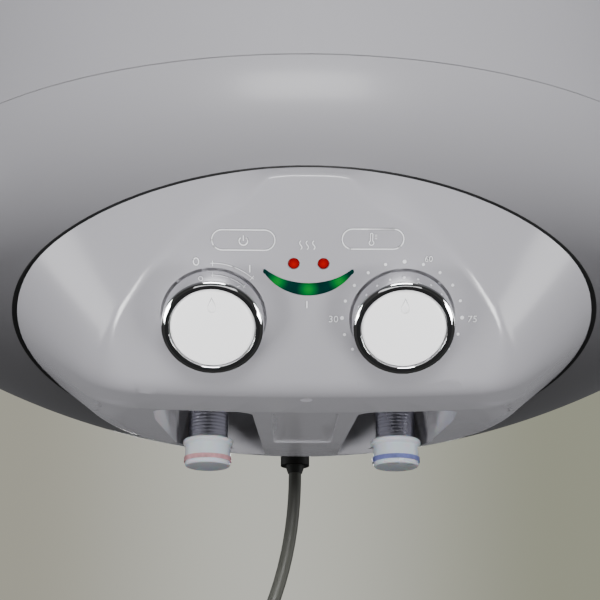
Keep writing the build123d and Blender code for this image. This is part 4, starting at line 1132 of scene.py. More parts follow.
    def flare(self) -> bpy.types.Object:
        """Makes the flared sides with their soft crease.

        Returns:
            The new object.
        """
        points: list[Vector] = []
        rows = 0
        angles = list(range(-self.last_angle, self.last_angle + 1))
        for angle in angles:
            side = self.side(abs(angle))
            soft = flowing(self.softness, abs(angle))
            start = self.inner(min(angle, self.last_angle - JUST_UNDER)) - self.overlap
            past = min(side[3] + soft + self.past_crease, side[0] - self.short_of_edge)
            reaches = [
                start + (past - start) * i / self.soft_rows for i in range(self.soft_rows + 1)
            ]
            end = side[0] + self.bury
            reaches += [
                past + (end - past) * i / self.side_rows for i in range(1, self.side_rows + 1)
            ]
            rows = len(reaches)
            for number, reach in enumerate(reaches):
                x, t = self.spot(angle, reach)
                height = self.soft_height(abs(angle), reach, side)
                lift = self.first_lift if number < 2 else 0.0
                points.append(FASCIA.point(x, t, height + lift))
        faces = []
        for i in range(len(angles) - 1):
            for k in range(rows - 1):
                low = i * rows + k
                faces.append((low, low + 1, low + rows + 1, low + rows))
        return mesh_piece("cover_flare", points, faces, "heater", sharp=50.0)

    def build(self, moulding: bpy.types.Object, finishes: Finishes) -> list[bpy.types.Object]:
        """Builds the cover in place of the plain solid.

        Args:
            moulding: The cover's plain solid.
            finishes: The finishes to dress it with.

        Returns:
            The two new objects.
        """
        self.read_edge()
        data = moulding.data.copy()
        self.cut_skin(data)
        data.polygons.foreach_set("use_smooth", [True] * len(data.polygons))
        data.set_sharp_from_angle(angle=math.radians(self.sharp))
        self.shade(data)
        cover = bpy.data.objects.new("silver_cover", data)
        bpy.context.scene.collection.objects.link(cover)
        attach(cover, "heater")
        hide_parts("control_cover")
        flare = self.flare()
        for piece in (cover, flare):
            finishes.dress(piece, "cover")
            LOG.info("built %s with %d corners", piece.name, len(piece.data.vertices))
        return [cover, flare]


@dataclass
class SealAndGapShadow:
    """The black seal between the cover's edge and the body; its visible width follows the dark line
    there, thin at the front and wider at the sides, where it also stands as painted shadow of the
    gap.
    """

    under: float = 1.3
    thin: float = 0.35
    thick: float = 2.0
    over: float = 0.4
    bevel: float = 0.12
    thick_from: float = 0.5
    thick_to: float = 0.8
    steps: int = 240

    def build(self, cover: ControlCover, finishes: Finishes) -> None:
        """Builds the seal, with its painted gap shadow, in place of the plain solid.

        Args:
            cover: The cover, for its seam and the shape of the body under it.
            finishes: The finishes to dress it with.
        """
        points: list[Vector] = []
        faces: list[tuple[int, ...]] = []
        for i in range(self.steps):
            step = 360 * i / self.steps
            back = eased(-math.cos(math.radians(step)), self.thick_from, self.thick_to)
            low = self.thin + (self.thick - self.thin) * back
            section = (
                (1.0, low), (self.bevel, low), (0.0, low * 0.5), (0.0, -self.over),
                (1.0, -self.over),
            )
            for share, sunk in section:
                x, y = cover.seam(step, share * (1 + self.under))
                points.append(place(x, y, cover.dish_height(math.hypot(x, y)) - sunk))
        corners = len(points) // self.steps
        for i in range(self.steps):
            here, there = corners * i, corners * ((i + 1) % self.steps)
            for k in range(corners):
                n = (k + 1) % corners
                faces.append((here + k, here + n, there + n, there + k))
        seal = mesh_piece("cover_seal", points, faces, "heater", sharp=50.0)
        finishes.dress(seal, "gasket")
        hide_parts("cover_gasket")
        LOG.info("built %s", seal.name)


# Marks on the cover


@dataclass
class MarkPlan:
    """Corners and faces of one layer of marks."""

    points: list[Vector] = field(default_factory=list)
    faces: list[tuple[int, ...]] = field(default_factory=list)


@dataclass
class CoverMarks:
    """Raised marks on the fascia: two frames, dial dots, ticks, plain signs and figures, drawn
    lighter than the silver as painted highlight, each line on a wider dark foot of painted shadow.
    """

    lift: float = 0.3
    shadow_foot_lift: float = 0.05
    shadow_foot_spread: float = 0.34
    sink: float = 0.25
    line: float = 0.5
    bar_line: float = 0.6
    wave_line: float = 0.45
    warmth_line: float = 0.4
    degree_line: float = 0.32
    scale_line: float = 0.3
    tick_line: float = 0.35
    wave_gap: float = 2.6
    least_length: float = 1e-4
    frames: tuple[tuple[float, float, float, float], ...] = (
        (-26.1, 33.3, 25.2, 8.3), (25.6, 33.9, 24.6, 8.2),
    )
    power_at: Triple = (-26.1, 32.9, 1.7)
    warmth_at: Triple = (25.0, 34.0, 4.8)
    heat_at: Triple = (-0.6, 31.4, 3.6)
    ring_at: Triple = (-45.1, 24.2, 3.0)
    bars_at: tuple[Triple, ...] = ((-23.6, 21.4, 3.0), (-0.5, 6.0, 3.0))
    scale_radius: float = 23.6
    scale_span: Pair = (-2.0, 44.0)
    ticks_at: Pair = (0.0, 42.0)
    tick_from: float = 22.4
    tick_to: float = 24.6
    dot_angle: float = 18.0
    dots_aside: int = 7
    dot_size: float = 0.62
    fifth_dot_size: float = 0.8
    dot_corners: int = 12
    figures_at: tuple[tuple[str, float, float, float], ...] = (
        ("30", 10.4, -0.6, 4.2), ("75", 67.4, -0.8, 4.2), ("60", 48.2, 25.6, 3.4),
    )
    start_over: float = 12.0
    ray: float = 0.04
    missed: float = -1.0
    surface: BVHTree | None = None
    raised: MarkPlan = field(default_factory=MarkPlan)
    shadow_feet: MarkPlan = field(default_factory=MarkPlan)

    def on_surface(self, x: float, t: float, height: float) -> Vector:
        """A point over the moulded surface.

        Args:
            x: Distance to the right of the middle.
            t: Distance up the slope.
            height: Height over the surface.

        Returns:
            The point in the frame.
        """
        start = FASCIA.point(x, t, self.start_over)
        hit, normal, _, _ = self.surface.ray_cast(start, -FASCIA.out(), self.ray)
        if hit is None:
            return FASCIA.point(x, t, self.missed + height)
        if normal.dot(FASCIA.out()) < 0:
            normal = -normal
        return hit + normal * height * MM

    def slab(self, outline: list[Pair], foot: bool = False) -> None:
        """Adds a raised patch with a closed outline.

        Args:
            outline: Its corners on the fascia.
            foot: Whether it is the low dark foot of a line, which is painted shadow.
        """
        plan = self.shadow_feet if foot else self.raised
        start = len(plan.points)
        count = len(outline)
        for x, t in outline:
            plan.points.append(self.on_surface(x, t, self.shadow_foot_lift if foot else self.lift))
        for x, t in outline:
            plan.points.append(self.on_surface(x, t, -self.sink))
        plan.faces.append(tuple(range(start, start + count)))
        for i in range(count):
            j = (i + 1) % count
            plan.faces.append((start + i, start + count + i, start + count + j, start + j))

    def stroke(
        self, line: list[Pair], width: float, ring: bool = False, foot: bool = False
    ) -> None:
        """Adds a raised line on its dark foot of painted shadow.

        Args:
            line: Points that it runs through.
            width: Its width.
            ring: Whether it closes on itself.
            foot: Whether this is the foot itself.
        """
        if not foot:
            self.stroke(line, width + self.shadow_foot_spread, ring, True)
        if len(line) == 2 and (Vector(line[0]) - Vector(line[1])).length < self.least_length:
            return
        count = len(line)
        left: list[Pair] = []
        right: list[Pair] = []
        for i in range(count):
            before = Vector(line[i - 1] if (ring or i > 0) else line[i])
            after = Vector(line[(i + 1) % count] if (ring or i < count - 1) else line[i])
            along = (after - before).normalized()
            across = Vector((-along.y, along.x)) * width / 2
            left.append(tuple(Vector(line[i]) + across))
            right.append(tuple(Vector(line[i]) - across))
        pairs = count if ring else count - 1
        for i in range(pairs):
            j = (i + 1) % count
            self.slab([left[i], left[j], right[j], right[i]], foot)

    def around(self, x: float, t: float, radius: float, angle: float) -> Pair:
        """A place round a middle, at an angle counted clockwise from the top."""
        turn = math.radians(angle)
        return x + radius * math.sin(turn), t + radius * math.cos(turn)

    def arc(
        self, x: float, t: float, radius: float, start: float, end: float, steps: int = 24
    ) -> list[Pair]:
        """Points on an arc, with angles counted clockwise from the top.

        Args:
            x: Middle, to the right.
            t: Middle, up the slope.
            radius: Radius.
            start: First angle in degrees.
            end: Last angle in degrees.
            steps: Steps between them.

        Returns:
            The points.
        """
        angles = [start + (end - start) * i / steps for i in range(steps + 1)]
        return [self.around(x, t, radius, angle) for angle in angles]

    def sign_frame(self, x: float, t: float, length: float, height: float) -> None:
        """Adds the rounded frame round the sign over a control."""
        half = (length - height) / 2
        right = self.arc(x + half, t, height / 2, 0, 180, 14)
        left = self.arc(x - half, t, height / 2, 180, 360, 14)
        self.stroke(right + left, self.line, ring=True)

    def sign_bar(self, x: float, t: float, height: float) -> None:
        """Adds the plain bar that stands for on."""
        self.stroke([(x, t - height / 2), (x, t + height / 2)], self.bar_line)

    def sign_ring(self, x: float, t: float, height: float) -> None:
        """Adds the plain ring that stands for off."""
        ring = [
            (x + 0.36 * height * math.sin(a), t + 0.5 * height * math.cos(a))
            for a in (2 * math.pi * i / 20 for i in range(20))
        ]
        self.stroke(ring, self.line, ring=True)

    def sign_power(self, x: float, t: float, size: float) -> None:
        """Adds the broken ring with a bar."""
        self.stroke(self.arc(x, t, size, 38, 322, 22), self.line)
        self.stroke([(x, t + 0.1 * size), (x, t + 1.35 * size)], self.line)

    def sign_heat(self, x: float, t: float, height: float) -> None:
        """Adds three short rising waves."""
        for step in (-self.wave_gap, 0.0, self.wave_gap):
            wave = [
                (x + step + 0.5 * math.sin(2 * math.pi * s / 8), t + height * (s / 8 - 0.5))
                for s in range(9)
            ]
            self.stroke(wave, self.wave_line)

    def sign_warmth(self, x: float, t: float, height: float) -> None:
        """Adds a small thermometer outline."""
        bulb = self.arc(x, t - 0.34 * height, 0.2 * height, 28, 332, 14)
        top = self.arc(x, t + 0.4 * height, 0.1 * height, -90, 90, 6)
        self.stroke(bulb + top, self.warmth_line, ring=True)
        for k in range(3):
            up = t + 0.1 + 0.75 * k
            self.stroke([(x + 1.3, up), (x + 2.2, up)], self.degree_line)

    def figures(self, text: str, x: float, t: float, size: float) -> None:
        """Adds plain figures.

        Args:
            text: The figures.
            x: Their middle, to the right.
            t: Their middle, up the slope.
            size: Size of the type.
        """
        drawing = bpy.data.curves.new("figures_" + text, "FONT")
        drawing.body = text
        drawing.size = size
        drawing.align_x = "CENTER"
        drawing.align_y = "CENTER"
        drawing.resolution_u = 3
        holder = bpy.data.objects.new("figures_" + text, drawing)
        bpy.context.scene.collection.objects.link(holder)
        bpy.context.view_layer.update()
        flat = bpy.data.meshes.new_from_object(holder)
        plan = self.raised
        start = len(plan.points)
        for corner in flat.vertices:
            plan.points.append(self.on_surface(x + corner.co.x, t + corner.co.y, self.lift))
        for face in flat.polygons:
            plan.faces.append(tuple(start + i for i in face.vertices))
        edges: dict[tuple[int, int], int] = {}
        for face in flat.polygons:
            for key in face.edge_keys:
                edges[key] = edges.get(key, 0) + 1
        below = len(plan.points)
        for corner in flat.vertices:
            plan.points.append(self.on_surface(x + corner.co.x, t + corner.co.y, -self.sink))
        for (a, b), used in edges.items():
            if used == 1:
                plan.faces.append((start + a, start + b, below + b, below + a))
                first, second = flat.vertices[a].co, flat.vertices[b].co
                line = [(x + first.x, t + first.y), (x + second.x, t + second.y)]
                # Painted shadow: a dark foot along each outer edge of the figures.
                self.stroke(line, self.shadow_foot_spread, foot=True)
        bpy.data.objects.remove(holder)
        bpy.data.meshes.remove(flat)
        bpy.data.curves.remove(drawing)

    def build(self, carriers: list[bpy.types.Object], finishes: Finishes) -> None:
        """Draws every mark on the cover.

        Args:
            carriers: The pieces of the cover that carry them.
            finishes: The finishes to dress them with.
        """
        corners: list[Vector] = []
        patches: list[tuple[int, ...]] = []
        for carrier in carriers:
            start = len(corners)
            corners += [v.co.copy() for v in carrier.data.vertices]
            patches += [tuple(start + i for i in p.vertices) for p in carrier.data.polygons]
        self.surface = BVHTree.FromPolygons(corners, patches)
        for frame in self.frames:
            self.sign_frame(*frame)
        self.sign_power(*self.power_at)
        self.sign_warmth(*self.warmth_at)
        self.sign_heat(*self.heat_at)
        self.sign_ring(*self.ring_at)
        for bar in self.bars_at:
            self.sign_bar(*bar)
        self.stroke(self.arc(-KNOB_X, 0.0, self.scale_radius, *self.scale_span), self.scale_line)
        for angle in self.ticks_at:
            near = self.around(-KNOB_X, 0.0, self.tick_from, angle)
            far = self.around(-KNOB_X, 0.0, self.tick_to, angle)
            self.stroke([near, far], self.tick_line)
        last = 360.0 - 360.0 / self.dot_corners
        for k in range(-self.dots_aside, self.dots_aside + 1):
            x, t = self.around(KNOB_X, 0.0, self.tick_to, self.dot_angle * k)
            size = self.dot_size if k % 5 else self.fifth_dot_size
            self.slab(self.arc(x, t, size, 0.0, last, self.dot_corners - 1))
        for text, x, t, size in self.figures_at:
            self.figures(text, x, t, size)
        # The raised marks carry painted highlight, and their dark feet carry painted shadow.
        for name, plan, key in (
            ("cover_marks", self.raised, "marks"), ("cover_mark_feet", self.shadow_feet, "mark_foot")
        ):
            piece = mesh_piece(name, plan.points, plan.faces, "heater", sharp=30.0)
            finishes.dress(piece, key)
            LOG.info("built %s", piece.name)


@dataclass
class LampWindow:
    """The green crescent window with its blunt ends."""

    half: float = 17.5
    tip: float = 20.25
    blunt: float = 1.05
    upper: float = 15.2
    lower: float = 10.0
    level: float = 0.06
    thick: float = 0.5
    bulge: float = 0.8
    steps: int = 48
    end_steps: int = 6

    def arc_height(self, x: float, middle: float, end: float) -> float:
        """Height of a circular arc through (0, middle) and (+-half, end) at x."""
        rise = end - middle
        radius = (self.half**2 + rise**2) / (2 * rise)
        return middle + radius - math.sqrt(radius**2 - x**2)

    def outline(self) -> list[Pair]:
        """The outline of the window on the fascia."""
        low_end, high_end = self.tip - self.blunt, self.tip + self.blunt
        across = [self.half * (2 * i / self.steps - 1) for i in range(self.steps + 1)]
        bottom = [(x, self.arc_height(x, self.lower, low_end)) for x in across]
        top = [(x, self.arc_height(x, self.upper, high_end)) for x in reversed(across)]
        ends = [math.pi * (k / self.end_steps - 0.5) for k in range(1, self.end_steps)]
        right = [
            (self.half + self.bulge * math.cos(a), self.tip + self.blunt * math.sin(a))
            for a in ends
        ]
        left = [(-x, t) for x, t in reversed(right)]
        return bottom + right + top + left

    def build(self, cover: ControlCover, finishes: Finishes) -> None:
        """Builds the window in place of the plain solid.

        Args:
            cover: The cover, for the height of its fascia.
            finishes: The finishes to dress it with.
        """
        outline = self.outline()
        count = len(outline)
        half_count = self.steps + 1
        end_count = self.end_steps - 1
        points: list[Vector] = []
        for lift in (self.level, -self.thick):
            for x, t in outline:
                points.append(FASCIA.point(x, t, cover.face_height(x, t) + lift))
        faces: list[tuple[int, ...]] = []
        for i in range(self.steps):
            above = half_count + end_count + self.steps - i
            faces.append((i, i + 1, above - 1, above))
            faces.append((count + i, count + above, count + above - 1, count + i + 1))
        right = tuple(range(half_count - 1, half_count + end_count + 1))
        left = tuple(list(range(2 * half_count + end_count - 1, count)) + [0])
        faces.append(right)
        faces.append(left)
        faces.append(tuple(count + i for i in reversed(right)))
        faces.append(tuple(count + i for i in reversed(left)))
        for i in range(count):
            j = (i + 1) % count
            faces.append((i, count + i, count + j, j))
        window = mesh_piece("green_window", points, faces, "heater", sharp=50.0)
        finishes.dress(window, "green_lens")
        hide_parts("smile_lens")
        LOG.info("built %s", window.name)


# Knobs


@dataclass
class ControlKnob:
    """One knob: bright ring, pale disc and a raised drop that points, with a grey foot round the
    drop as painted shade.
    """

    control: Control
    x: float
    seat: float = -1.6
    ring_profile: list[Pair] = field(
        default_factory=lambda: [
            (21.0, 0.4), (20.6, 11.7), (19.0, 12.36), (17.5, 12.3), (17.3, 12.1),
            (17.3, 9.5), (19.1, 9.5), (19.5, 0.4),
        ]
    )
    ring_radii: list[float] = field(
        default_factory=lambda: [0.12, 1.6, 0.9, 0.15, 0.1, 0.0, 0.0, 0.1]
    )
    axis_hole: float = 0.01
    disc_radius: float = 17.0
    disc_back: float = 9.5
    disc_edge: float = 11.4
    disc_bevel: float = 0.35
    disc_bevel_down: float = 0.3
    disc_swell: float = 0.72
    disc_rings: int = 12
    drop_half: float = 2.45
    drop_long: float = 3.1
    drop_up: float = 9.9
    drop_shift: float = 0.2
    drop_middle: float = 9.7
    drop_power: float = 1.6
    drop_corners: int = 36
    drop_levels: Table = ((1.0, 11.55), (1.0, 12.0), (0.9, 12.22), (0.7, 12.36), (0.35, 12.42))
    # The drop's grey foot is painted shade round the drop's edge.
    drop_parts: tuple[tuple[str, float, float, str], ...] = (
        ("drop", 1.0, 0.0, "disc"), ("drop_foot", 1.16, -0.34, "foot"),
    )

    def lathe(self) -> Turning:
        """The turning axis of the knob."""
        return Turning(FASCIA.point(self.x, 0.0, self.seat), FASCIA.out(), steps=160)

    def drop(self) -> list[Pair]:
        """The outline of the drop, about the knob's axis."""
        outline = []
        for i in range(self.drop_corners):
            turn = 2 * math.pi * i / self.drop_corners
            swell = math.sin(turn / 2) ** self.drop_power
            along = self.drop_up + self.drop_long * math.cos(turn) + self.drop_shift
            outline.append((self.drop_half * math.sin(turn) * swell, along))
        return outline

    def build(self, finishes: Finishes) -> None:
        """Builds the knob and hides the plain solids that it stands for.

        Args:
            finishes: The finishes to dress it with.
        """
        name = self.control.value
        body = name + "_knob"
        lathe = self.lathe()
        line = rounded(self.ring_profile, self.ring_radii, 6)
        ring = lathe.mesh(name + "_bright_ring", line, body, sharp=50.0)
        finishes.dress(ring, "chrome")
        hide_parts(name + "_knob_ring")
        profile = [
            (self.axis_hole, self.disc_back), (self.disc_radius, self.disc_back),
            (self.disc_radius, self.disc_edge - self.disc_bevel_down),
            (self.disc_radius - self.disc_bevel, self.disc_edge),
        ]
        for i in range(1, self.disc_rings + 1):
            r = (self.disc_radius - self.disc_bevel) * (1 - i / self.disc_rings)
            swell = self.disc_swell * (1 - (r / self.disc_radius) ** 2)
            profile.append((max(r, self.axis_hole), self.disc_edge + swell))
        disc = lathe.mesh(name + "_pale_disc", profile, body, sharp=40.0, closed=False)
        finishes.dress(disc, "disc")
        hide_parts(name + "_knob_disc")
        for part, spread, lift, key in self.drop_parts:
            pointer = self.build_drop(name + "_pointer_" + part, body, spread, lift)
            finishes.dress(pointer, key)
        LOG.info("built %s and its disc and pointer", ring.name)

    def build_drop(self, name: str, body: str, spread: float, lift: float) -> bpy.types.Object:
        """Builds the raised drop with a soft edge, or the low grey foot round it, which is painted
        shade at the drop's edge.

        Args:
            name: Name of the piece.
            body: Body that it rides on.
            spread: Its size beside the plain drop.
            lift: Its height over the plain drop.

        Returns:
            The new object.
        """
        outline = self.drop()
        count = len(outline)
        points: list[Vector] = []
        faces: list[tuple[int, ...]] = []
        middle = self.drop_middle
        for share, height in self.drop_levels:
            for x, t in outline:
                points.append(
                    FASCIA.point(
                        self.x + x * share * spread,
                        middle + (t - middle) * share * spread,
                        self.seat + height + lift,
                    )
                )
        rows = len(self.drop_levels)
        for row in range(rows - 1):
            low, high = row * count, (row + 1) * count
            for i in range(count):
                j = (i + 1) % count
                faces.append((low + i, low + j, high + j, high + i))
        top = (rows - 1) * count
        faces.append(tuple(range(top, top + count)))
        return mesh_piece(name, points, faces, body, sharp=60.0)


# Pipe stubs and caps


@dataclass
class PipeCap:
    """The milky push-on cap over a pipe stub; its coloured band is a carried-over solid."""

    water: Water
    x: float
    top: float = -2.5
    tall: float = 14.2
    floor: float = 1.2
    radius: float = 12.0
    bore: float = 11.12
    rim_radius: float = 13.3
    rim: float = 2.4
    axis_hole: float = 0.01

    def build(self, finishes: Finishes) -> None:
        """Builds the cap in place of the plain solid.

        Args:
            finishes: The finishes to dress it with.
        """
        name = self.water.value
        body = name + "_closure"
        lathe = Turning(place(self.x, 0, self.top), Vector((0, 0, 1)), steps=96)
        foot = -self.tall
        corners = [
            (self.axis_hole, foot), (self.radius - 0.6, foot), (self.radius, foot + 0.8),
            (self.radius, -self.rim - 1.0), (self.rim_radius, -self.rim + 0.3),
            (self.rim_radius, -0.7), (self.rim_radius - 0.9, 0.0), (self.bore + 0.25, 0.0),
            (self.bore, -0.4), (self.bore, foot + self.floor),
            (self.axis_hole, foot + self.floor),
        ]
        radii = [0.0, 0.5, 0.4, 0.8, 0.5, 0.5, 0.5, 0.2, 0.2, 0.0, 0.0]
        line = rounded(corners, radii, 4)
        cap = lathe.mesh(name + "_milky_cap", line, body, sharp=50.0, closed=False)
        finishes.dress(cap, "cap")
        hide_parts(name + "_cap")
        LOG.info("built %s", cap.name)


# Mains lead


@dataclass
class MainsLead:
    """The mains lead: its hanging run and the coil of the spare length, down to the plug."""

    diameter: float = 7.4
    x: float = -3.0
    y: float = 80.0
    start: float = -3.0
    coil_radius: float = 40.0
    coil_z: float = -186.0
    pitch: float = 8.1
    turns: int = 4
    straight: float = 52.0
    approach: float = 50.0
    lead_in: float = 8.0
    tail: float = 20.0
    per_turn: int = 16
    length: float = 1216.6

    def route(self) -> list[Vector]:
        """The route's own points, from the gland to the plug, in the frame."""
        entry = self.x - self.coil_radius
        line = [
            (self.x, self.y, self.start),
            (self.x, self.y, self.start - self.straight),
            (entry, self.y, self.coil_z + self.approach),
            (entry, self.y, self.coil_z + self.lead_in),
        ]
        step = 2 * math.pi / self.per_turn
        # The curve passes each corner at (before + 6 * corner + after) / 8, inside of it.
        reach = self.coil_radius * 8 / (6 + 2 * math.cos(step))
        count = self.turns * self.per_turn
        for i in range(count + 1):
            turn = step * i
            out = reach if 0 < i < count else self.coil_radius
            line.append(
                (
                    self.x - out * math.cos(turn),
                    self.y + self.pitch * i / self.per_turn,
                    self.coil_z - out * math.sin(turn),
                )
            )
        line.append((entry, self.y + self.pitch * self.turns, self.coil_z - self.tail))
        return [place(*p) for p in line]

    def build(self, finishes: Finishes) -> None:
        """Builds the lead as one smooth curve, whose points carry its radius.

        Args:
            finishes: The finishes to dress it with.
        """
        drawing = bpy.data.curves.new("mains_lead", "CURVE")
        drawing.dimensions = "3D"
        spline = drawing.splines.new("NURBS")
        points = self.route()
        spline.points.add(len(points) - 1)
        for slot, point in zip(spline.points, points):
            slot.co = (*point, 1.0)
            slot.radius = self.diameter * MM / 2
        spline.order_u = 3
        spline.use_endpoint_u = True
        drawing.resolution_u = 12
        drawing.bevel_depth = 1.0
        drawing.bevel_resolution = 6
        drawing.use_fill_caps = True
        lead = bpy.data.objects.new("mains_lead", drawing)
        bpy.context.scene.collection.objects.link(lead)
        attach(lead, "heater")
        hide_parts("power_cord", "power_cord_coil")
        finishes.dress(lead, "cord")
        LOG.info("built %s", lead.name)


# Carried-over solids


@dataclass
class CarriedSolids:
    """The solids that keep their shape and get their finish here."""

    sharp: float = 28.0
    finishes_of: dict[str, str] = field(
        default_factory=lambda: {
            "wall_bracket": "zinc", "wall_spacer": "black", "cover_strip": "zinc",
            "cover_screw": "zinc",
            "power_knob_core": "black", "temp_knob_core": "black", "power_shaft": "steel",
            "temp_shaft": "steel", "power_switch": "black", "thermostat": "black",
            "switch_screws": "zinc", "thermostat_screws": "zinc", "red_lens_left": "red_lens",
            "red_lens_right": "red_lens", "lamp_board": "board",
            "lamps": "lamp", "board_screws": "zinc", "inner_tank": "enamel",
            "foam_insulation": "foam", "flange_gasket": "gasket", "flange_plate": "zinc",
            "flange_studs": "zinc", "element_left": "copper", "element_right": "copper",
            "anode_rod": "magnesium", "thermowell": "copper", "thermostat_bulb": "copper",
            "hot_pipe": "thread", "cold_pipe": "thread", "inlet_diffuser": "white",
            "hot_band": "red_band", "cold_band": "blue_band", "thermal_cutout": "black",
            "reset_button": "white", "terminal_block": "white", "supply_lead": "cord",
            "supply_wires": "wire", "cord_clamp": "black", "cord_gland": "rubber",
            "coil_tie": "rubber", "plug_body": "cord", "plug_pins": "brass",
        }
    )

    def dress(self, finishes: Finishes, nodes: dict[str, bpy.types.Object]) -> None:
        """Dresses each carried-over solid.

        Args:
            finishes: The finishes.
            nodes: The solids by name.
        """
        for name, key in self.finishes_of.items():
            solid = nodes[name]
            solid.data.polygons.foreach_set("use_smooth", [True] * len(solid.data.polygons))
            solid.data.set_sharp_from_angle(angle=math.radians(self.sharp))
            finishes.dress(solid, key)
            LOG.info("dressed %s", name)


# Studio


@dataclass
class Studio:
    """Floor, soft lights, pale surroundings and the camera."""

    focal_px: float = 1274.0
    picture_px: float = 600.0
    sensor_mm: float = 36.0
    camera_at: Triple = (-0.0095, -0.915, -0.6047)
    camera_up: float = 20.0
    camera_right: float = 0.73
    floor_z: float = -1.3
    floor_reach: float = 3.0
    floor_tone: Colour = (46, 46, 44)
    card_tone: Colour = (14, 14, 15)
    card_roughness: float = 0.9
    fill_colour: tuple[float, float, float, float] = (0.96, 0.97, 1.0, 1.0)
    fill_from: float = -0.6
    fill_to: float = 0.5
    fill_below: float = 0.03
    fill_above: float = 0.2
    wall_reach: float = 0.21
    wall_left: Colour = (166, 164, 150)
    wall_middle: Colour = (202, 202, 192)
    wall_right: Colour = (152, 153, 135)
    wall_peak: float = 0.47
    control_names: tuple[str, ...] = (
        "silver_cover", "cover_flare", "cover_mark", "green_window", "red_lens", "power_", "temp_",
    )
    cap_names: tuple[str, ...] = ("hot_milky", "cold_milky", "hot_band", "cold_band")

    def set_camera(self) -> None:
        """Places the camera at the photograph's angle."""
        data = bpy.data.cameras.new("picture_camera")
        data.sensor_width = self.sensor_mm
        data.lens = self.focal_px / self.picture_px * self.sensor_mm
        camera = bpy.data.objects.new("picture_camera", data)
        camera.location = self.camera_at
        camera.rotation_euler = (
            math.radians(90 + self.camera_up), 0.0, -math.radians(self.camera_right)
        )
        bpy.context.scene.collection.objects.link(camera)
        bpy.context.scene.camera = camera

    def set_world(self) -> None:
        """Lights the surroundings softly and shows the camera a plain pale wall."""
        world = bpy.data.worlds.new("pale_room")
        bpy.context.scene.world = world
        world.use_nodes = True
        nodes = world.node_tree.nodes
        links = world.node_tree.links
        nodes.clear()
        path = nodes.new("ShaderNodeLightPath")
        seen = nodes.new("ShaderNodeMath")
        seen.operation = "MAXIMUM"
        links.new(path.outputs["Is Camera Ray"], seen.inputs[0])
        links.new(path.outputs["Is Transmission Ray"], seen.inputs[1])
        fill = nodes.new("ShaderNodeBackground")
        fill.inputs["Color"].default_value = self.fill_colour
        spot = nodes.new("ShaderNodeTexCoord")
        parts = nodes.new("ShaderNodeSeparateXYZ")
        links.new(spot.outputs["Generated"], parts.inputs["Vector"])
        sky = nodes.new("ShaderNodeMapRange")
        sky.inputs["From Min"].default_value = self.fill_from
        sky.inputs["From Max"].default_value = self.fill_to
        sky.inputs["To Min"].default_value = self.fill_below
        sky.inputs["To Max"].default_value = self.fill_above
        links.new(parts.outputs["Z"], sky.inputs["Value"])
        links.new(sky.outputs["Result"], fill.inputs["Strength"])
        wall = nodes.new("ShaderNodeBackground")
        wall.inputs["Strength"].default_value = 1.0
        across = nodes.new("ShaderNodeMapRange")
        across.inputs["From Min"].default_value = -self.wall_reach
        across.inputs["From Max"].default_value = self.wall_reach
        links.new(parts.outputs["X"], across.inputs["Value"])
        shade = nodes.new("ShaderNodeValToRGB")
        shade.color_ramp.interpolation = "EASE"
        shade.color_ramp.elements[0].color = linear(self.wall_left)
        shade.color_ramp.elements[1].color = linear(self.wall_right)
        shade.color_ramp.elements.new(self.wall_peak).color = linear(self.wall_middle)
        links.new(across.outputs["Result"], shade.inputs["Fac"])
        links.new(shade.outputs["Color"], wall.inputs["Color"])
        mix = nodes.new("ShaderNodeMixShader")
        links.new(seen.outputs["Value"], mix.inputs["Fac"])
        links.new(fill.outputs["Background"], mix.inputs[1])
        links.new(wall.outputs["Background"], mix.inputs[2])
        out = nodes.new("ShaderNodeOutputWorld")
        links.new(mix.outputs["Shader"], out.inputs["Surface"])

    def soft_light(
        self, name: str, at: Triple, aim: Triple, size: Pair, watts: float, diffuse: float = 1.0
    ) -> bpy.types.Object:
        """Hangs one soft light.

        Args:
            name: Name of the light.
            at: Its place.
            aim: The point that it faces.
            size: Width and height.
            watts: Its power.
            diffuse: Share of it that lights matt surfaces.

        Returns:
            The new light.
        """
        data = bpy.data.lights.new(name, "AREA")
        data.shape = "RECTANGLE"
        data.size = size[0]
        data.size_y = size[1]
        data.energy = watts
        data.diffuse_factor = diffuse
        light = bpy.data.objects.new(name, data)
        light.location = at
        way = Vector(aim) - Vector(at)
        light.rotation_euler = way.to_track_quat("-Z", "Y").to_euler()
        bpy.context.scene.collection.objects.link(light)
        return light

    def flat_card(self, name: str, corners: list[Triple], colour: Colour) -> bpy.types.Object:
        """Makes one flat stage sheet.

        Args:
            name: Name of the sheet.
            corners: Its corners.
            colour: Its tone.

        Returns:
            The new object.
        """
        data = bpy.data.meshes.new(name)
        data.from_pydata(corners, [], [tuple(range(len(corners)))])
        card = bpy.data.objects.new(name, data)
        bpy.context.scene.collection.objects.link(card)
        sheet = NodeSheet(name)
        sheet.tones(sheet.noise(2.0), colour, colour)
        sheet.shader.inputs["Roughness"].default_value = self.card_roughness
        data.materials.append(sheet.material)
        return card

    @staticmethod
    def light_only(light: bpy.types.Object, names: tuple[str, ...]) -> None:
        """Lets a light reach some pieces alone.

        Args:
            light: The light.
            names: What the names of those pieces start with.
        """
        group = bpy.data.collections.new(light.name + "_receivers")
        for piece in bpy.data.objects:
            if piece.name.startswith(names):
                group.objects.link(piece)
        light.light_linking.receiver_collection = group

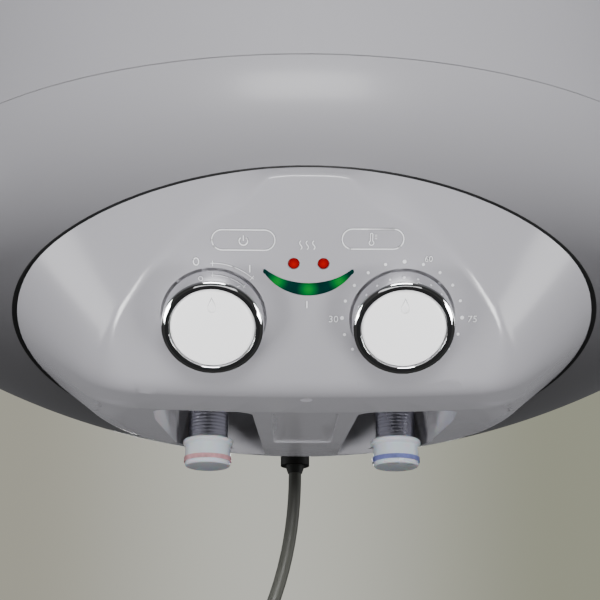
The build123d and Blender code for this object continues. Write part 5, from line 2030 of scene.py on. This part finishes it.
    def build(self) -> None:
        """Sets up the studio."""
        self.set_camera()
        self.set_world()
        z, far = self.floor_z, self.floor_reach
        self.flat_card(
            "floor", [(-far, -far, z), (far, -far, z), (far, far, z), (-far, far, z)],
            self.floor_tone,
        )
        up = z + 0.01
        dark = self.flat_card(
            "dark_card", [(-0.5, -1.15, up), (0.5, -1.15, up), (0.5, -0.5, up), (-0.5, -0.5, up)],
            self.card_tone,
        )
        dark.visible_camera = False
        dark.visible_diffuse = False
        dark.visible_shadow = False
        dark.visible_transmission = False
        self.soft_light("front_light", (0.0, -2.3, -0.2), (0.0, -0.45, -0.4), (1.0, 0.7), 46.0)
        self.soft_light("back_light", (0.0, 2.4, 0.4), (0.0, -0.25, -0.2), (1.0, 0.7), 34.0)
        self.soft_light("top_light", (0.1, -1.5, 1.3), (0.0, -0.4, -0.2), (1.6, 0.8), 5.0)
        self.soft_light(
            "low_light", (0.0, -1.9, -1.3), (0.0, -0.42, -0.42), (1.3, 0.35), 2.0, 0.0
        )
        cap_light = self.soft_light(
            "cap_light", (0.0, -1.9, -0.9), (0.0, -0.33, -0.45), (0.8, 0.35), 26.0
        )
        self.light_only(cap_light, self.cap_names)
        for side, name in ((-1, "left"), (1, "right")):
            low = self.soft_light(
                name + "_low", (side * 0.66, -0.74, -0.88), (side * 0.08, -0.4, -0.42),
                (0.22, 0.42), 7.0, 0.0,
            )
            self.light_only(low, self.control_names)
            self.soft_light(
                name + "_side", (side * 1.6, -0.15, -0.5), (side * 0.1, -0.4, -0.4), (0.6, 0.6),
                4.0, 0.6,
            )
        LOG.info("set up the studio")


def main() -> None:
    """Builds the dressed heater."""
    logging.basicConfig(level=logging.INFO, format="%(message)s")
    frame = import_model()
    nodes = frame["nodes"]
    finishes = Finishes()
    CarriedSolids().dress(finishes, nodes)
    HeaterBody().build(finishes)
    cover = ControlCover()
    CoverMarks().build(cover.build(nodes["control_cover"], finishes), finishes)
    SealAndGapShadow().build(cover, finishes)
    LampWindow().build(cover, finishes)
    for control, x in ((Control.POWER, -KNOB_X), (Control.TEMPERATURE, KNOB_X)):
        ControlKnob(control, x).build(finishes)
    for water, x in ((Water.HOT, -STUB_X), (Water.COLD, STUB_X)):
        PipeCap(water, x).build(finishes)
    MainsLead().build(finishes)
    Studio().build()
    bpy.context.view_layer.update()


if __name__ == "__main__":
    main()
